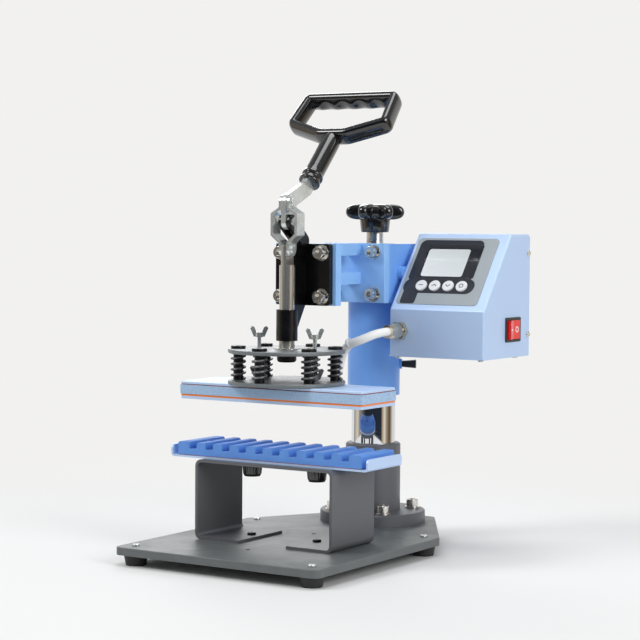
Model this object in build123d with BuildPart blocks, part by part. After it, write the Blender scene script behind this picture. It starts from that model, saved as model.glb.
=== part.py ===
from build123d import *

import math
import os

# Bench heat press for pens, in millimetres: +X right, +Y back towards the post, +Z up.
# The origin is the point of the table top that lies under the plunger's axis.
# The press stands open, with its arm midway up the post.

# Running fit of a shaft in its bore, gap between other moving faces, and play of a fixed fit
RUNNING_FIT = 0.05
MOVING_GAP = 0.3
FIXED_FIT = 0.02
EDGE_BREAK = 0.6

# Base plate and feet
PLATE_WIDTH = 242.0
PLATE_FRONT = 130.0
PLATE_SIDE_END = 107.0
PLATE_BACK = 233.0
PLATE_TAIL_WIDTH = 90.0
PLATE_THICKNESS = 8.0
PLATE_CORNER = 8.0
FOOT_HEIGHT = 11.0
FOOT_TOP_DIAMETER = 25.0
FOOT_BOTTOM_DIAMETER = 20.5
FOOT_INSET = 16.0
FOOT_FRONT_INSET = 16.5
FOOT_BACK_INSET = 5.0
FOOT_SCREW_DIAMETER = 4.0
FOOT_SCREW_HEAD_DIAMETER = 8.0
FOOT_SCREW_HEAD_HEIGHT = 2.2
FOOT_RECESS_DIAMETER = 9.6
FOOT_RECESS_DEPTH = 4.0
SPARE_HOLE_DIAMETER = 5.0
SPARE_HOLE_FRONT = -68.0
SPARE_HOLE_SPACING = 122.0

# Post, its flange and the height screw
POST_BEHIND = 173.6
POST_DIAMETER = 48.0
POST_TOP = 275.0
POST_SCREW_DEPTH = 75.0
FLANGE_DIAMETER = 115.0
FLANGE_THICKNESS = 12.5
FLANGE_BOLT_CIRCLE = 90.0
FLANGE_EDGE = 1.0
SOCKET_DIAMETER = 60.0
SOCKET_TOP = 105.0
SOCKET_EDGE = 1.6
SPINDLE_DIAMETER = 18.6
SPINDLE_CROSS_HOLE = 4.0
SPINDLE_CROSS_HOLE_DROP = 8.5
LIFT_TRAVEL = 20.0
BUSH_RISE = 4.0
BUSH_ROOF_THICKNESS = 8.5
BUSH_NECK_WALL = 5.5
RETAINER_THICKNESS = 3.0
RETAINER_WIDTH = 4.0
LIFT_COLLAR_DIAMETER = 45.0
LIFT_COLLAR_THICKNESS = 4.5

# Socket head screws and washers, size M8
BOLT_DIAMETER = 8.0
BOLT_HEAD_DIAMETER = 13.0
BOLT_HEAD_HEIGHT = 8.0
BOLT_SOCKET_FLATS = 6.0
BOLT_SOCKET_DEPTH = 4.0
WASHER_DIAMETER = 16.6
WASHER_THICKNESS = 1.6

# Stand bracket, tray and pen mould
BRACKET_WIDTH = 166.0
BRACKET_FRONT = 43.5
BRACKET_BACK = 37.5
BRACKET_TOP = 101.5
BRACKET_SHEET = 3.0
BRACKET_CORNER = 7.0
BRACKET_FOOT_GAP = 58.0
BRACKET_SCREW_SPREAD = 80.0
BRACKET_SCREW_DIAMETER = 5.0
BRACKET_SCREW_HEAD_DIAMETER = 9.0
BRACKET_SCREW_HEAD_HEIGHT = 2.6
TRAY_END_GAP = 6.3
TRAY_FRONT = 36.0
TRAY_BACK = 30.0
TRAY_SHEET = 2.0
TRAY_LIP_HEIGHT = 12.3
TRAY_LIP_CORNER = 4.0
TRAY_BEND = 3.5
PAD_THICKNESS = 0.7
PAD_INSET = 1.0
MOULD_LENGTH = 222.0
MOULD_FRONT = 35.0
MOULD_BACK = 29.0
MOULD_HEIGHT = 13.3
GROOVE_COUNT = 10
GROOVE_PITCH = 20.5
GROOVE_WIDTH = 9.5
GROOVE_DEPTH = 7.0
RIB_ROUNDING = 2.6
TRAY_KNOB_SPREAD = 79.0
TRAY_KNOB_DIAMETER = 20.3
TRAY_KNOB_HEIGHT = 15.0
TRAY_KNOB_FLUTES = 16
TRAY_STUD_DIAMETER = 5.0
TRAY_STUD_REACH = 5.0
FLUTE_DIAMETER = 2.6

# Sleeve, its channel and the lock screw
SLEEVE_DIAMETER = 57.0
SLEEVE_WALL = 3.0
SLEEVE_BOTTOM = 158.0
SLEEVE_TOP = 318.0
SLEEVE_CAP = 10.0
CHANNEL_WIDTH = 76.0
CHANNEL_FRONT = 141.0
CHANNEL_BACK = 205.0
CHANNEL_WEB = 8.0
CHANNEL_SHEET = 5.0
CHANNEL_CORNER = 3.0
LOCK_HEIGHT = 191.5
LOCK_ANGLE = 25.0
LOCK_BOSS_DIAMETER = 11.0
LOCK_BOSS_LENGTH = 2.5
LOCK_KNOB_DIAMETER = 9.4
LOCK_KNOB_LENGTH = 15.0
LOCK_SCREW_DIAMETER = 5.0

# Height knob
KNOB_HUB_DIAMETER = 33.4
KNOB_HUB_BASE_DIAMETER = 30.5
KNOB_HUB_BOTTOM = 335.0
KNOB_HUB_HEIGHT = 13.5
KNOB_ARM_COUNT = 6
KNOB_ARM_WIDTH = 12.5
KNOB_ARM_HEIGHT = 17.0
KNOB_OVERALL = 64.0
KNOB_ROUNDING = 5.0
KNOB_WAIST = 3.0
KNOB_ARM_TURN = -28.0
KNOB_ARM_ROOT = 2.0

# Arm bracket: two plates joined by two bars
ARM_PLATE_THICKNESS = 10.0
ARM_PLATE_HEIGHT = 63.5
ARM_PLATE_BOTTOM = 259.75
ARM_FRONT_PLATE_WIDTH = 75.0
ARM_FRONT = 34.5
ARM_BAR_WIDTH = 16.0
ARM_BAR_HEIGHT = 13.0
ARM_LOWER_BAR_RISE = 19.75
ARM_BOLT_SPREAD_X = 48.0
ARM_BOLT_SPREAD_Z = 45.0
ARM_PLATE_EDGE = 0.8

# Toggle clamp
PIVOT_HEIGHT = 345.5
CRANK_RADIUS = 20.0
LINK_LENGTH = 48.0
PIVOT_PIN_DIAMETER = 6.0
PIN_HEAD_DIAMETER = 9.0
PIN_HEAD_HEIGHT = 2.0
CLAMP_FLANGE_WIDTH = 66.0
CLAMP_FLANGE_THICKNESS = 6.0
CLAMP_FLANGE_CORNER = 3.5
CLAMP_WEB_THICKNESS = 7.0
CLAMP_WEB_FRONT = 9.5
CLAMP_EAR_THICKNESS = 3.45
CLAMP_EAR_RADIUS = 7.5
CLAMP_EAR_ROOT_RADIUS = 7.0
CLAMP_EAR_ROOT = (24.0, 326.0)
CLAMP_WEB_INSET = 1.0
CLAMP_WEB_RISE = 4.0
CLAMP_NECK = (7.0, 8.0)
CLAMP_BACK_NECK = (6.0, 7.5)
CLAMP_WEB_TOP_LENGTH = 5.0
CLAMP_SLOT_SIZE = (40.0, 50.0)
PIN_HEAD_EDGE = 0.9
BARREL_DIAMETER = 22.0
BARREL_BOTTOM = 224.4
BARREL_TOP = 256.1
ROD_DIAMETER = 16.0
ROD_TONGUE_START = 301.4
ROD_STUD_DIAMETER = 12.0
ROD_EYE_RISE = 4.5
LEVER_THICKNESS = 5.5
LEVER_WIDTH = 16.0
LEVER_TAIL_LENGTH = 32.0
LEVER_BEND_BEFORE_STEM = 7.0
LINK_THICKNESS = 3.0
LINK_WIDTH = 14.4
LINK_SIDE_GAP = 0.45
LINK_LOOP_WIDTH = 32.0
LINK_LOOP_BOTTOM = 333.0
LINK_LOOP_TOP = 352.5
LINK_SLANT_BOTTOM = 324.9
LINK_SLANT_TOP = 358.3
LINK_BEND = 1.5

# D-shaped handle
HANDLE_TILT = 44.0
STEM_END_BACK = 39.4
STEM_END_HEIGHT = 385.4
STEM_DIAMETER = 20.5
STEM_LENGTH = 70.0
COLLAR_DIAMETER = 23.0
COLLAR_LENGTH = 4.0
COLLAR_PITCH = 8.0
HANDLE_BAR = 11.0
HANDLE_DEPTH = 20.0
HANDLE_TOP = 130.5
HANDLE_TOP_WIDTH = 116.5
HANDLE_SHOULDER = 82.0
HANDLE_SHOULDER_WIDTH = 126.0
HANDLE_THROAT = 64.0
HANDLE_THROAT_WIDTH = 32.5
HANDLE_CORNER = 5.0
HANDLE_ROUNDING = 4.5

# Spring pack between the two discs
DISC_DIAMETER = 120.0
DISC_THICKNESS = 4.0
DISC_EDGE = 0.8
LOWER_DISC_BOTTOM = 180.0
DISC_GAP = 28.0
SPRING_COUNT = 6
SPRING_CIRCLE = 99.0
FIRST_SPRING_ANGLE = 30.0
SPRING_DIAMETER = 16.0
SPRING_WIRE = 2.2
SPRING_TURNS = 4.5
SPRING_SEAT_GAP = 0.15
GUIDE_DIAMETER = 10.0
GUIDE_HEAD_DIAMETER = 15.3
GUIDE_HEAD_HEIGHT = 3.0
GUIDE_HEAD_EDGE = 1.0
GUIDE_SOCKET_FLATS = 5.0
GUIDE_SOCKET_DEPTH = 2.0
GUIDE_END_GAP = 0.5
ROD_NUT_DIAMETER = 20.0
ROD_NUT_HEIGHT = 9.6
ROD_NUT_ROUNDING = 3.0
ROD_STUD_RECESS = 1.0
ROD_COLLAR_DIAMETER = 27.5
ROD_COLLAR_THICKNESS = 0.8

# Wing bolts
WING_BOLT_SPREAD = 68.0
WING_SHAFT_DIAMETER = 4.0
WING_SHAFT_LENGTH = 14.0
LOWER_WING_SHAFT_LENGTH = 5.0
WING_HUB_DIAMETER = 8.0
WING_HUB_HEIGHT = 5.0
WING_SPAN = 19.0
WING_RISE = 11.5
WING_THICKNESS = 2.2
WING_TURN = 32.0
WING_BOLT_END_GAP = 0.8

# Heated platen, from the bottom up
PLATEN_LENGTH = 220.0
PLATEN_WIDTH = 66.0
PLATEN_CORNER = 2.5
BLOCK_OVERHANG = 0.8
HEAT_PLATE_THICKNESS = 3.0
GASKET_THICKNESS = 2.0
BLOCK_THICKNESS = 9.5
SEAM_THICKNESS = 1.0
CAP_THICKNESS = 2.5
CAP_EDGE = 0.8

# Control box
BOX_LEFT = 45.0
BOX_WIDTH = 113.0
BOX_FRONT = 130.0
BOX_BACK = 233.0
BOX_BOTTOM = 205.0
BOX_FRONT_HEIGHT = 49.0
BOX_HEIGHT = 129.0
BOX_PANEL_RUN = 61.0
BOX_SHEET = 2.0
BOX_EDGE = 2.5
COVER_SHEET = 1.5
COVER_TAB = 9.0
COVER_TAB_THICKNESS = 4.0
BOX_SPACER_DIAMETER = 14.0
BOX_SPACER_FRONT_INSET = 22.0
BOX_SPACER_BACK_INSET = 12.0
BOX_SCREW_DIAMETER = 3.0
BOX_SCREW_HEAD_DIAMETER = 6.0
BOX_SCREW_HEAD_HEIGHT = 1.8
BOX_SCREW_INSET = 7.0
BOX_SCREW_LENGTH = 5.0
COVER_SCREW_RISE = 21.5
COVER_SCREW_DROP = 20.0
COVER_SCREW_BACK_INSET = 18.0
OVERLAY_LEFT = 4.5
OVERLAY_WIDTH = 97.5
OVERLAY_START = 7.0
OVERLAY_LENGTH = 87.0
OVERLAY_THICKNESS = 0.6
OVERLAY_CORNER = 5.0
WINDOW_LEFT = 20.0
WINDOW_WIDTH = 66.5
WINDOW_START = 42.0
WINDOW_LENGTH = 42.5
WINDOW_THICKNESS = 2.6
WINDOW_SINK = 0.1
BUTTON_COUNT = 4
BUTTON_DIAMETER = 13.0
BUTTON_FIRST = 28.4
BUTTON_PITCH = 16.1
BUTTON_START = 30.7
BUTTON_RISE = 1.9
BUTTON_TRAVEL = 1.0
BUTTON_EDGE = 0.8
BUTTON_FLANGE = 0.9
BUTTON_FLANGE_THICKNESS = 1.5
BUTTON_STEM_DIAMETER = 4.0
BOARD_THICKNESS = 1.6
BOARD_BEHIND_PANEL = 9.0
BOARD_SIDE_GAP = 1.0
BOARD_LENGTH_SHARE = 0.72
DISPLAY_BACKING_INSET = 6.0
BOARD_PART_HEIGHT = 14.0
TRANSFORMER_PLACE = (35.0, 35.0)
TRANSFORMER_SIZE = (28.0, 20.0)
RELAY_PLACE = (70.0, 55.0)
RELAY_SIZE = (19.0, 16.0)
SWITCH_BACK = 195.0
SWITCH_RISE = 28.0
BEZEL_LENGTH = 34.0
BEZEL_HEIGHT = 26.0
BEZEL_THICKNESS = 1.6
BEZEL_CORNER = 1.5
BEZEL_EDGE = 0.5
SWITCH_LENGTH = 29.4
SWITCH_WIDTH = 20.6
SWITCH_DEPTH = 18.0
SWITCH_WALL = 1.2
SWITCH_FLOOR = 4.0
SWITCH_CUTOUT_PLAY = 0.1
ROCKER_LENGTH = 27.0
ROCKER_WIDTH = 20.0
ROCKER_PIVOT_DEPTH = 6.0
ROCKER_END_RISE = 9.4
ROCKER_MIDDLE_RISE = 7.4
ROCKER_TILT = 7.0
ROCKER_KEEL_DEPTH = 3.0
ROCKER_KEEL_HALF_LENGTH = 4.0
ROCKER_SKIRT = 1.0

# Cable glands and the heater cable
GLAND_ACROSS_FLATS = 18.0
GLAND_HEX_LENGTH = 6.0
GLAND_DOME_LENGTH = 21.0
GLAND_DOME_DIAMETER = 17.0
GLAND_NOSE_DIAMETER = 14.0
GLAND_THREAD_DIAMETER = 12.0
GLAND_NUT_THICKNESS = 4.0
GLAND_NECK_LENGTH = 1.5
GLAND_STEP_LENGTH = 1.0
GLAND_CAP_SHARE = 0.6
GLAND_THREAD_SPARE = 2.0
GLAND_LIP = 2.0
GLAND_X = 58.0
GLAND_HEIGHT = 231.0
MAINS_GLAND_X = 130.0
CABLE_DIAMETER = 9.0

# Places that follow from the sizes above
PLATE_TOP = FOOT_HEIGHT + PLATE_THICKNESS
FLANGE_TOP = PLATE_TOP + FLANGE_THICKNESS
TRAY_TOP = BRACKET_TOP + TRAY_SHEET
TRAY_LENGTH = MOULD_LENGTH + 2 * (TRAY_END_GAP + TRAY_SHEET)
MOULD_BOTTOM = TRAY_TOP + PAD_THICKNESS
MOULD_TOP = MOULD_BOTTOM + MOULD_HEIGHT
TRAY_KNOB_Y = (BRACKET_BACK - BRACKET_FRONT) / 2
UPPER_DISC_BOTTOM = LOWER_DISC_BOTTOM + DISC_THICKNESS + DISC_GAP
UPPER_DISC_TOP = UPPER_DISC_BOTTOM + DISC_THICKNESS
CAP_BOTTOM = LOWER_DISC_BOTTOM - CAP_THICKNESS
SEAM_BOTTOM = CAP_BOTTOM - SEAM_THICKNESS
BLOCK_BOTTOM = SEAM_BOTTOM - BLOCK_THICKNESS
GASKET_BOTTOM = BLOCK_BOTTOM - GASKET_THICKNESS
HEAT_PLATE_BOTTOM = GASKET_BOTTOM - HEAT_PLATE_THICKNESS
ARM_PLATE_TOP = ARM_PLATE_BOTTOM + ARM_PLATE_HEIGHT
ARM_PLATE_MIDDLE = ARM_PLATE_BOTTOM + ARM_PLATE_HEIGHT / 2
ARM_REAR_PLATE_FRONT = CHANNEL_FRONT - ARM_PLATE_THICKNESS
CLAMP_FLANGE_FRONT = ARM_FRONT - CLAMP_FLANGE_THICKNESS
UPPER_RIVET_HEIGHT = PIVOT_HEIGHT + CRANK_RADIUS
LOWER_RIVET_HEIGHT = UPPER_RIVET_HEIGHT - LINK_LENGTH
LINK_INNER = LEVER_THICKNESS / 2 + LINK_SIDE_GAP
SLEEVE_BORE_DIAMETER = SLEEVE_DIAMETER - 2 * SLEEVE_WALL
BOX_RIGHT = BOX_LEFT + BOX_WIDTH
BOX_TOP = BOX_BOTTOM + BOX_HEIGHT
SWITCH_HEIGHT = BOX_BOTTOM + SWITCH_RISE

HANDLE_RISE = math.radians(HANDLE_TILT)
STEM_PLANE = Plane(
    origin=(0, STEM_END_BACK, STEM_END_HEIGHT),
    x_dir=(1, 0, 0),
    z_dir=(0, math.sin(HANDLE_RISE), math.cos(HANDLE_RISE)),
)
HANDLE_PLANE = Plane(
    origin=(0, STEM_END_BACK, STEM_END_HEIGHT),
    x_dir=(1, 0, 0),
    z_dir=(0, -math.cos(HANDLE_RISE), math.sin(HANDLE_RISE)),
)

BOX_PANEL_RISE = BOX_HEIGHT - BOX_FRONT_HEIGHT
BOX_PANEL_LENGTH = math.hypot(BOX_PANEL_RUN, BOX_PANEL_RISE)
PANEL_PLANE = Plane(
    origin=(BOX_LEFT, BOX_FRONT, BOX_BOTTOM + BOX_FRONT_HEIGHT),
    x_dir=(1, 0, 0),
    z_dir=(0, -BOX_PANEL_RISE / BOX_PANEL_LENGTH, BOX_PANEL_RUN / BOX_PANEL_LENGTH),
)

FOOT_PLACES = [
    (side * (PLATE_WIDTH / 2 - FOOT_INSET), y)
    for side in (-1, 1)
    for y in (-PLATE_FRONT + FOOT_FRONT_INSET, PLATE_SIDE_END - FOOT_BACK_INSET)
]
FLANGE_BOLT_PLACES = [
    (
        FLANGE_BOLT_CIRCLE / 2 * math.cos(math.radians(angle)),
        POST_BEHIND + FLANGE_BOLT_CIRCLE / 2 * math.sin(math.radians(angle)),
    )
    for angle in (45, 135, 225, 315)
]
SPARE_HOLE_PLACES = [(0, SPARE_HOLE_FRONT), (0, SPARE_HOLE_FRONT + SPARE_HOLE_SPACING)]
BRACKET_SCREW_PLACES = [(side * BRACKET_SCREW_SPREAD / 2, TRAY_KNOB_Y) for side in (-1, 1)]
TRAY_KNOB_PLACES = [(side * TRAY_KNOB_SPREAD / 2, TRAY_KNOB_Y) for side in (-1, 1)]
WING_BOLT_PLACES = [(side * WING_BOLT_SPREAD / 2, 0) for side in (-1, 1)]
SPRING_PLACES = [
    (
        SPRING_CIRCLE / 2 * math.cos(math.radians(FIRST_SPRING_ANGLE + 360 / SPRING_COUNT * number)),
        SPRING_CIRCLE / 2 * math.sin(math.radians(FIRST_SPRING_ANGLE + 360 / SPRING_COUNT * number)),
    )
    for number in range(SPRING_COUNT)
]
ARM_BOLT_GRID = [
    (side * ARM_BOLT_SPREAD_X / 2, ARM_PLATE_MIDDLE + level * ARM_BOLT_SPREAD_Z / 2)
    for side in (-1, 1)
    for level in (-1, 1)
]
BUTTON_PLACES = [
    (BUTTON_FIRST + number * BUTTON_PITCH, BUTTON_START)
    for number in range(BUTTON_COUNT)
]


def front_plane(y):
    """Plane at the given Y that faces the front, with X to the right and Z up."""
    return Plane.XZ.offset(-y)


def facing_front(places, y):
    """Locations at (x, z) places on the plane at Y, turned so that up points to the front."""
    return Locations(*[Location((x, y, z), (90, 0, 0)) for x, z in places])


def socket_screw(shank_length):
    """Socket head cap screw, head up, with the underside of its head at the origin."""
    with BuildPart() as screw:
        Cylinder(BOLT_HEAD_DIAMETER / 2, BOLT_HEAD_HEIGHT, align=(Align.CENTER, Align.CENTER, Align.MIN))
        chamfer(screw.edges().group_by(Axis.Z)[-1], EDGE_BREAK)
        with BuildSketch(Plane.XY.offset(BOLT_HEAD_HEIGHT)):
            RegularPolygon(BOLT_SOCKET_FLATS / 2, 6, major_radius=False)
        extrude(amount=-BOLT_SOCKET_DEPTH, mode=Mode.SUBTRACT)
        with BuildSketch(Plane.XY):
            Circle(BOLT_DIAMETER / 2)
        extrude(amount=-shank_length)
    return screw.part


def washer():
    """Flat washer that lies on the XY plane."""
    with BuildPart() as ring:
        with BuildSketch(Plane.XY):
            Circle(WASHER_DIAMETER / 2)
            Circle(BOLT_DIAMETER / 2 + FIXED_FIT, mode=Mode.SUBTRACT)
        extrude(amount=WASHER_THICKNESS)
    return ring.part


def pan_screw(diameter, head_diameter, head_height, shank_length):
    """Pan head screw with a cross recess, head up, the underside of its head at the origin."""
    with BuildPart() as screw:
        Cylinder(head_diameter / 2, head_height, align=(Align.CENTER, Align.CENTER, Align.MIN))
        fillet(screw.edges().group_by(Axis.Z)[-1], head_height * 0.45)
        with BuildSketch(Plane.XY.offset(head_height)):
            Rectangle(head_diameter * 0.5, head_diameter * 0.14)
            Rectangle(head_diameter * 0.14, head_diameter * 0.5)
        extrude(amount=-head_height * 0.6, mode=Mode.SUBTRACT)
        with BuildSketch(Plane.XY):
            Circle(diameter / 2)
        extrude(amount=-shank_length)
    return screw.part


def rubber_foot():
    """Tapered rubber foot that stands on the XY plane, bored for its screw."""
    with BuildPart() as foot:
        with BuildSketch(Plane.XZ):
            with BuildLine():
                Polyline(
                    (FOOT_SCREW_DIAMETER / 2 + FIXED_FIT, FOOT_RECESS_DEPTH),
                    (FOOT_RECESS_DIAMETER / 2, FOOT_RECESS_DEPTH),
                    (FOOT_RECESS_DIAMETER / 2, 0),
                    (FOOT_BOTTOM_DIAMETER / 2, 0),
                    (FOOT_TOP_DIAMETER / 2, FOOT_HEIGHT),
                    (FOOT_SCREW_DIAMETER / 2 + FIXED_FIT, FOOT_HEIGHT),
                    close=True,
                )
            make_face()
        revolve(axis=Axis.Z)
    return foot.part


def wing_bolt(shaft_length):
    """Wing bolt that stands on the end of its shaft at the origin, wings along X."""
    hub_bottom = shaft_length
    with BuildPart() as bolt:
        with BuildSketch(Plane.XY):
            Circle(WING_SHAFT_DIAMETER / 2)
        extrude(amount=hub_bottom)
        with BuildSketch(Plane.XY.offset(hub_bottom)):
            Circle(WING_HUB_DIAMETER / 2)
        extrude(amount=WING_HUB_HEIGHT)
        with BuildSketch(Plane.XZ):
            for side in (-1, 1):
                with BuildLine():
                    Polyline(
                        (0, hub_bottom + 0.5),
                        (side * WING_HUB_DIAMETER * 0.7, hub_bottom + 0.5),
                        (side * WING_SPAN / 2, hub_bottom + WING_RISE - 2),
                        (side * (WING_SPAN / 2 - 2), hub_bottom + WING_RISE),
                        (side * (WING_SPAN / 2 - 4.5), hub_bottom + WING_RISE - 1),
                        (side * WING_HUB_DIAMETER * 0.35, hub_bottom + WING_HUB_HEIGHT),
                        (0, hub_bottom + WING_HUB_HEIGHT),
                        close=True,
                    )
                make_face()
        extrude(amount=WING_THICKNESS / 2, both=True)
    return bolt.part


def tray_knob():
    """Fluted thumb knob, its top face at the origin, with its stud standing up."""
    stud_length = BRACKET_SHEET + TRAY_SHEET + PAD_THICKNESS + TRAY_STUD_REACH
    with BuildPart() as knob:
        with BuildSketch(Plane.XY.offset(-TRAY_KNOB_HEIGHT)):
            Circle(TRAY_KNOB_DIAMETER / 2)
            with PolarLocations((TRAY_KNOB_DIAMETER + FLUTE_DIAMETER / 2) / 2, TRAY_KNOB_FLUTES):
                Circle(FLUTE_DIAMETER / 2, mode=Mode.SUBTRACT)
        extrude(amount=TRAY_KNOB_HEIGHT)
        with BuildSketch(Plane.XZ):
            with BuildLine():
                Polyline(
                    (0, -TRAY_KNOB_HEIGHT),
                    (TRAY_KNOB_DIAMETER * 0.4, -TRAY_KNOB_HEIGHT),
                    (TRAY_KNOB_DIAMETER * 0.47, -TRAY_KNOB_HEIGHT * 0.83),
                    (TRAY_KNOB_DIAMETER / 2, -TRAY_KNOB_HEIGHT * 0.4),
                    (TRAY_KNOB_DIAMETER / 2, 0),
                    (0, 0),
                    close=True,
                )
            make_face()
        revolve(axis=Axis.Z, mode=Mode.INTERSECT)
        with BuildSketch(Plane.XY):
            Circle(TRAY_STUD_DIAMETER / 2)
        extrude(amount=stud_length)
    return knob.part


def cable_gland(reach):
    """Cable gland along +Z with its flange on the XY plane and its thread behind it."""
    dome_start = GLAND_HEX_LENGTH + GLAND_NECK_LENGTH
    mouth = GLAND_HEX_LENGTH + GLAND_DOME_LENGTH
    with BuildPart() as gland:
        with BuildSketch(Plane.XY):
            RegularPolygon(GLAND_ACROSS_FLATS / 2, 6, major_radius=False)
        extrude(amount=GLAND_HEX_LENGTH)
        with BuildSketch(Plane.XZ):
            with BuildLine():
                Polyline(
                    (0, GLAND_HEX_LENGTH),
                    (GLAND_NOSE_DIAMETER / 2, GLAND_HEX_LENGTH),
                    (GLAND_NOSE_DIAMETER / 2, dome_start),
                    (GLAND_DOME_DIAMETER / 2, dome_start + GLAND_STEP_LENGTH),
                    (GLAND_DOME_DIAMETER / 2, GLAND_HEX_LENGTH + GLAND_DOME_LENGTH * GLAND_CAP_SHARE),
                    (GLAND_NOSE_DIAMETER / 2, mouth),
                    (0, mouth),
                    close=True,
                )
            make_face()
        revolve(axis=Axis.Z)
        with BuildSketch(Plane.XY):
            Circle(GLAND_THREAD_DIAMETER / 2)
        extrude(amount=-reach)
        with BuildSketch(Plane.XY.offset(-reach)):
            Circle(CABLE_DIAMETER / 2 + FIXED_FIT)
        extrude(amount=reach + mouth - GLAND_LIP, mode=Mode.SUBTRACT)
    return gland.part


# Base plate: chamfered at the back, where it narrows behind the post
with BuildPart() as base_plate:
    with BuildSketch(Plane.XY.offset(FOOT_HEIGHT)) as plate_outline:
        with BuildLine():
            Polyline(
                (-PLATE_WIDTH / 2, -PLATE_FRONT),
                (PLATE_WIDTH / 2, -PLATE_FRONT),
                (PLATE_WIDTH / 2, PLATE_SIDE_END),
                (PLATE_TAIL_WIDTH / 2, PLATE_BACK),
                (-PLATE_TAIL_WIDTH / 2, PLATE_BACK),
                (-PLATE_WIDTH / 2, PLATE_SIDE_END),
                close=True,
            )
        make_face()
        fillet(plate_outline.vertices(), PLATE_CORNER)
    extrude(amount=PLATE_THICKNESS)
    chamfer(base_plate.faces().sort_by(Axis.Z)[-1].outer_wire().edges(), EDGE_BREAK)
    with BuildSketch(Plane.XY.offset(FOOT_HEIGHT)):
        with Locations(*FOOT_PLACES):
            Circle(FOOT_SCREW_DIAMETER / 2 + FIXED_FIT)
        with Locations(*FLANGE_BOLT_PLACES):
            Circle(BOLT_DIAMETER / 2 + FIXED_FIT)
        with Locations(*SPARE_HOLE_PLACES):
            Circle(SPARE_HOLE_DIAMETER / 2)
        with Locations(*BRACKET_SCREW_PLACES):
            Circle(BRACKET_SCREW_DIAMETER / 2 + FIXED_FIT)
    extrude(amount=PLATE_THICKNESS, mode=Mode.SUBTRACT)

# Four tapered rubber feet, each with a recess for its screw
with BuildPart() as rubber_feet:
    with Locations(*FOOT_PLACES):
        add(rubber_foot())

with BuildPart() as foot_screws:
    with Locations(*[(x, y, PLATE_TOP) for x, y in FOOT_PLACES]):
        add(pan_screw(
            FOOT_SCREW_DIAMETER,
            FOOT_SCREW_HEAD_DIAMETER,
            FOOT_SCREW_HEAD_HEIGHT,
            PLATE_TOP - FOOT_RECESS_DEPTH - 1.0,
        ))

# Flange with the socket that holds the post
with BuildPart() as post_flange:
    with BuildSketch(Plane.XY.offset(PLATE_TOP)):
        with Locations((0, POST_BEHIND)):
            Circle(FLANGE_DIAMETER / 2)
    extrude(amount=FLANGE_THICKNESS)
    chamfer(post_flange.edges().group_by(Axis.Z)[-1], FLANGE_EDGE)
    with BuildSketch(Plane.XY.offset(FLANGE_TOP)):
        with Locations((0, POST_BEHIND)):
            Circle(SOCKET_DIAMETER / 2)
    extrude(amount=SOCKET_TOP - FLANGE_TOP)
    chamfer(post_flange.edges().group_by(Axis.Z)[-1], SOCKET_EDGE)
    with BuildSketch(Plane.XY.offset(PLATE_TOP)):
        with Locations((0, POST_BEHIND)):
            Circle(POST_DIAMETER / 2 + RUNNING_FIT)
        with Locations(*FLANGE_BOLT_PLACES):
            Circle(BOLT_DIAMETER / 2 + FIXED_FIT)
    extrude(amount=SOCKET_TOP - PLATE_TOP, mode=Mode.SUBTRACT)

with BuildPart() as flange_washers:
    with Locations(*[(x, y, FLANGE_TOP) for x, y in FLANGE_BOLT_PLACES]):
        add(washer())

with BuildPart() as flange_bolts:
    with Locations(*[(x, y, FLANGE_TOP + WASHER_THICKNESS) for x, y in FLANGE_BOLT_PLACES]):
        add(socket_screw(FLANGE_THICKNESS + WASHER_THICKNESS + PLATE_THICKNESS - 1.0))

# Chromed post, bored and tapped from the top for the height screw
with BuildPart() as post:
    with BuildSketch(Plane.XY.offset(PLATE_TOP)):
        with Locations((0, POST_BEHIND)):
            Circle(POST_DIAMETER / 2)
    extrude(amount=POST_TOP - PLATE_TOP)
    chamfer(post.edges().group_by(Axis.Z)[-1], SOCKET_EDGE)
    with BuildSketch(Plane.XY.offset(POST_TOP)):
        with Locations((0, POST_BEHIND)):
            Circle(SPINDLE_DIAMETER / 2 + RUNNING_FIT)
    extrude(amount=-POST_SCREW_DEPTH, mode=Mode.SUBTRACT)

# Stand bracket: one folded strip with its feet turned inward
with BuildPart() as stand_bracket:
    with BuildSketch(front_plane(BRACKET_BACK)):
        bracket_height = BRACKET_TOP - PLATE_TOP
        with Locations((0, PLATE_TOP + bracket_height / 2)):
            RectangleRounded(BRACKET_WIDTH, bracket_height, BRACKET_CORNER)
            RectangleRounded(
                BRACKET_WIDTH - 2 * BRACKET_SHEET,
                bracket_height - 2 * BRACKET_SHEET,
                BRACKET_CORNER - BRACKET_SHEET,
                mode=Mode.SUBTRACT,
            )
        with Locations((0, PLATE_TOP + BRACKET_SHEET / 2)):
            Rectangle(BRACKET_FOOT_GAP, BRACKET_SHEET * 1.2, mode=Mode.SUBTRACT)
    extrude(amount=BRACKET_FRONT + BRACKET_BACK)
    with BuildSketch(Plane.XY.offset(PLATE_TOP)):
        with Locations(*BRACKET_SCREW_PLACES):
            Circle(BRACKET_SCREW_DIAMETER / 2 + FIXED_FIT)
    extrude(amount=BRACKET_SHEET, mode=Mode.SUBTRACT)
    with BuildSketch(Plane.XY.offset(BRACKET_TOP)):
        with Locations(*TRAY_KNOB_PLACES):
            Circle(TRAY_STUD_DIAMETER / 2 + RUNNING_FIT)
    extrude(amount=-BRACKET_SHEET, mode=Mode.SUBTRACT)

with BuildPart() as bracket_screws:
    with Locations(*[(x, y, PLATE_TOP + BRACKET_SHEET) for x, y in BRACKET_SCREW_PLACES]):
        add(pan_screw(
            BRACKET_SCREW_DIAMETER,
            BRACKET_SCREW_HEAD_DIAMETER,
            BRACKET_SCREW_HEAD_HEIGHT,
            BRACKET_SHEET + PLATE_THICKNESS - 1.0,
        ))

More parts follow.
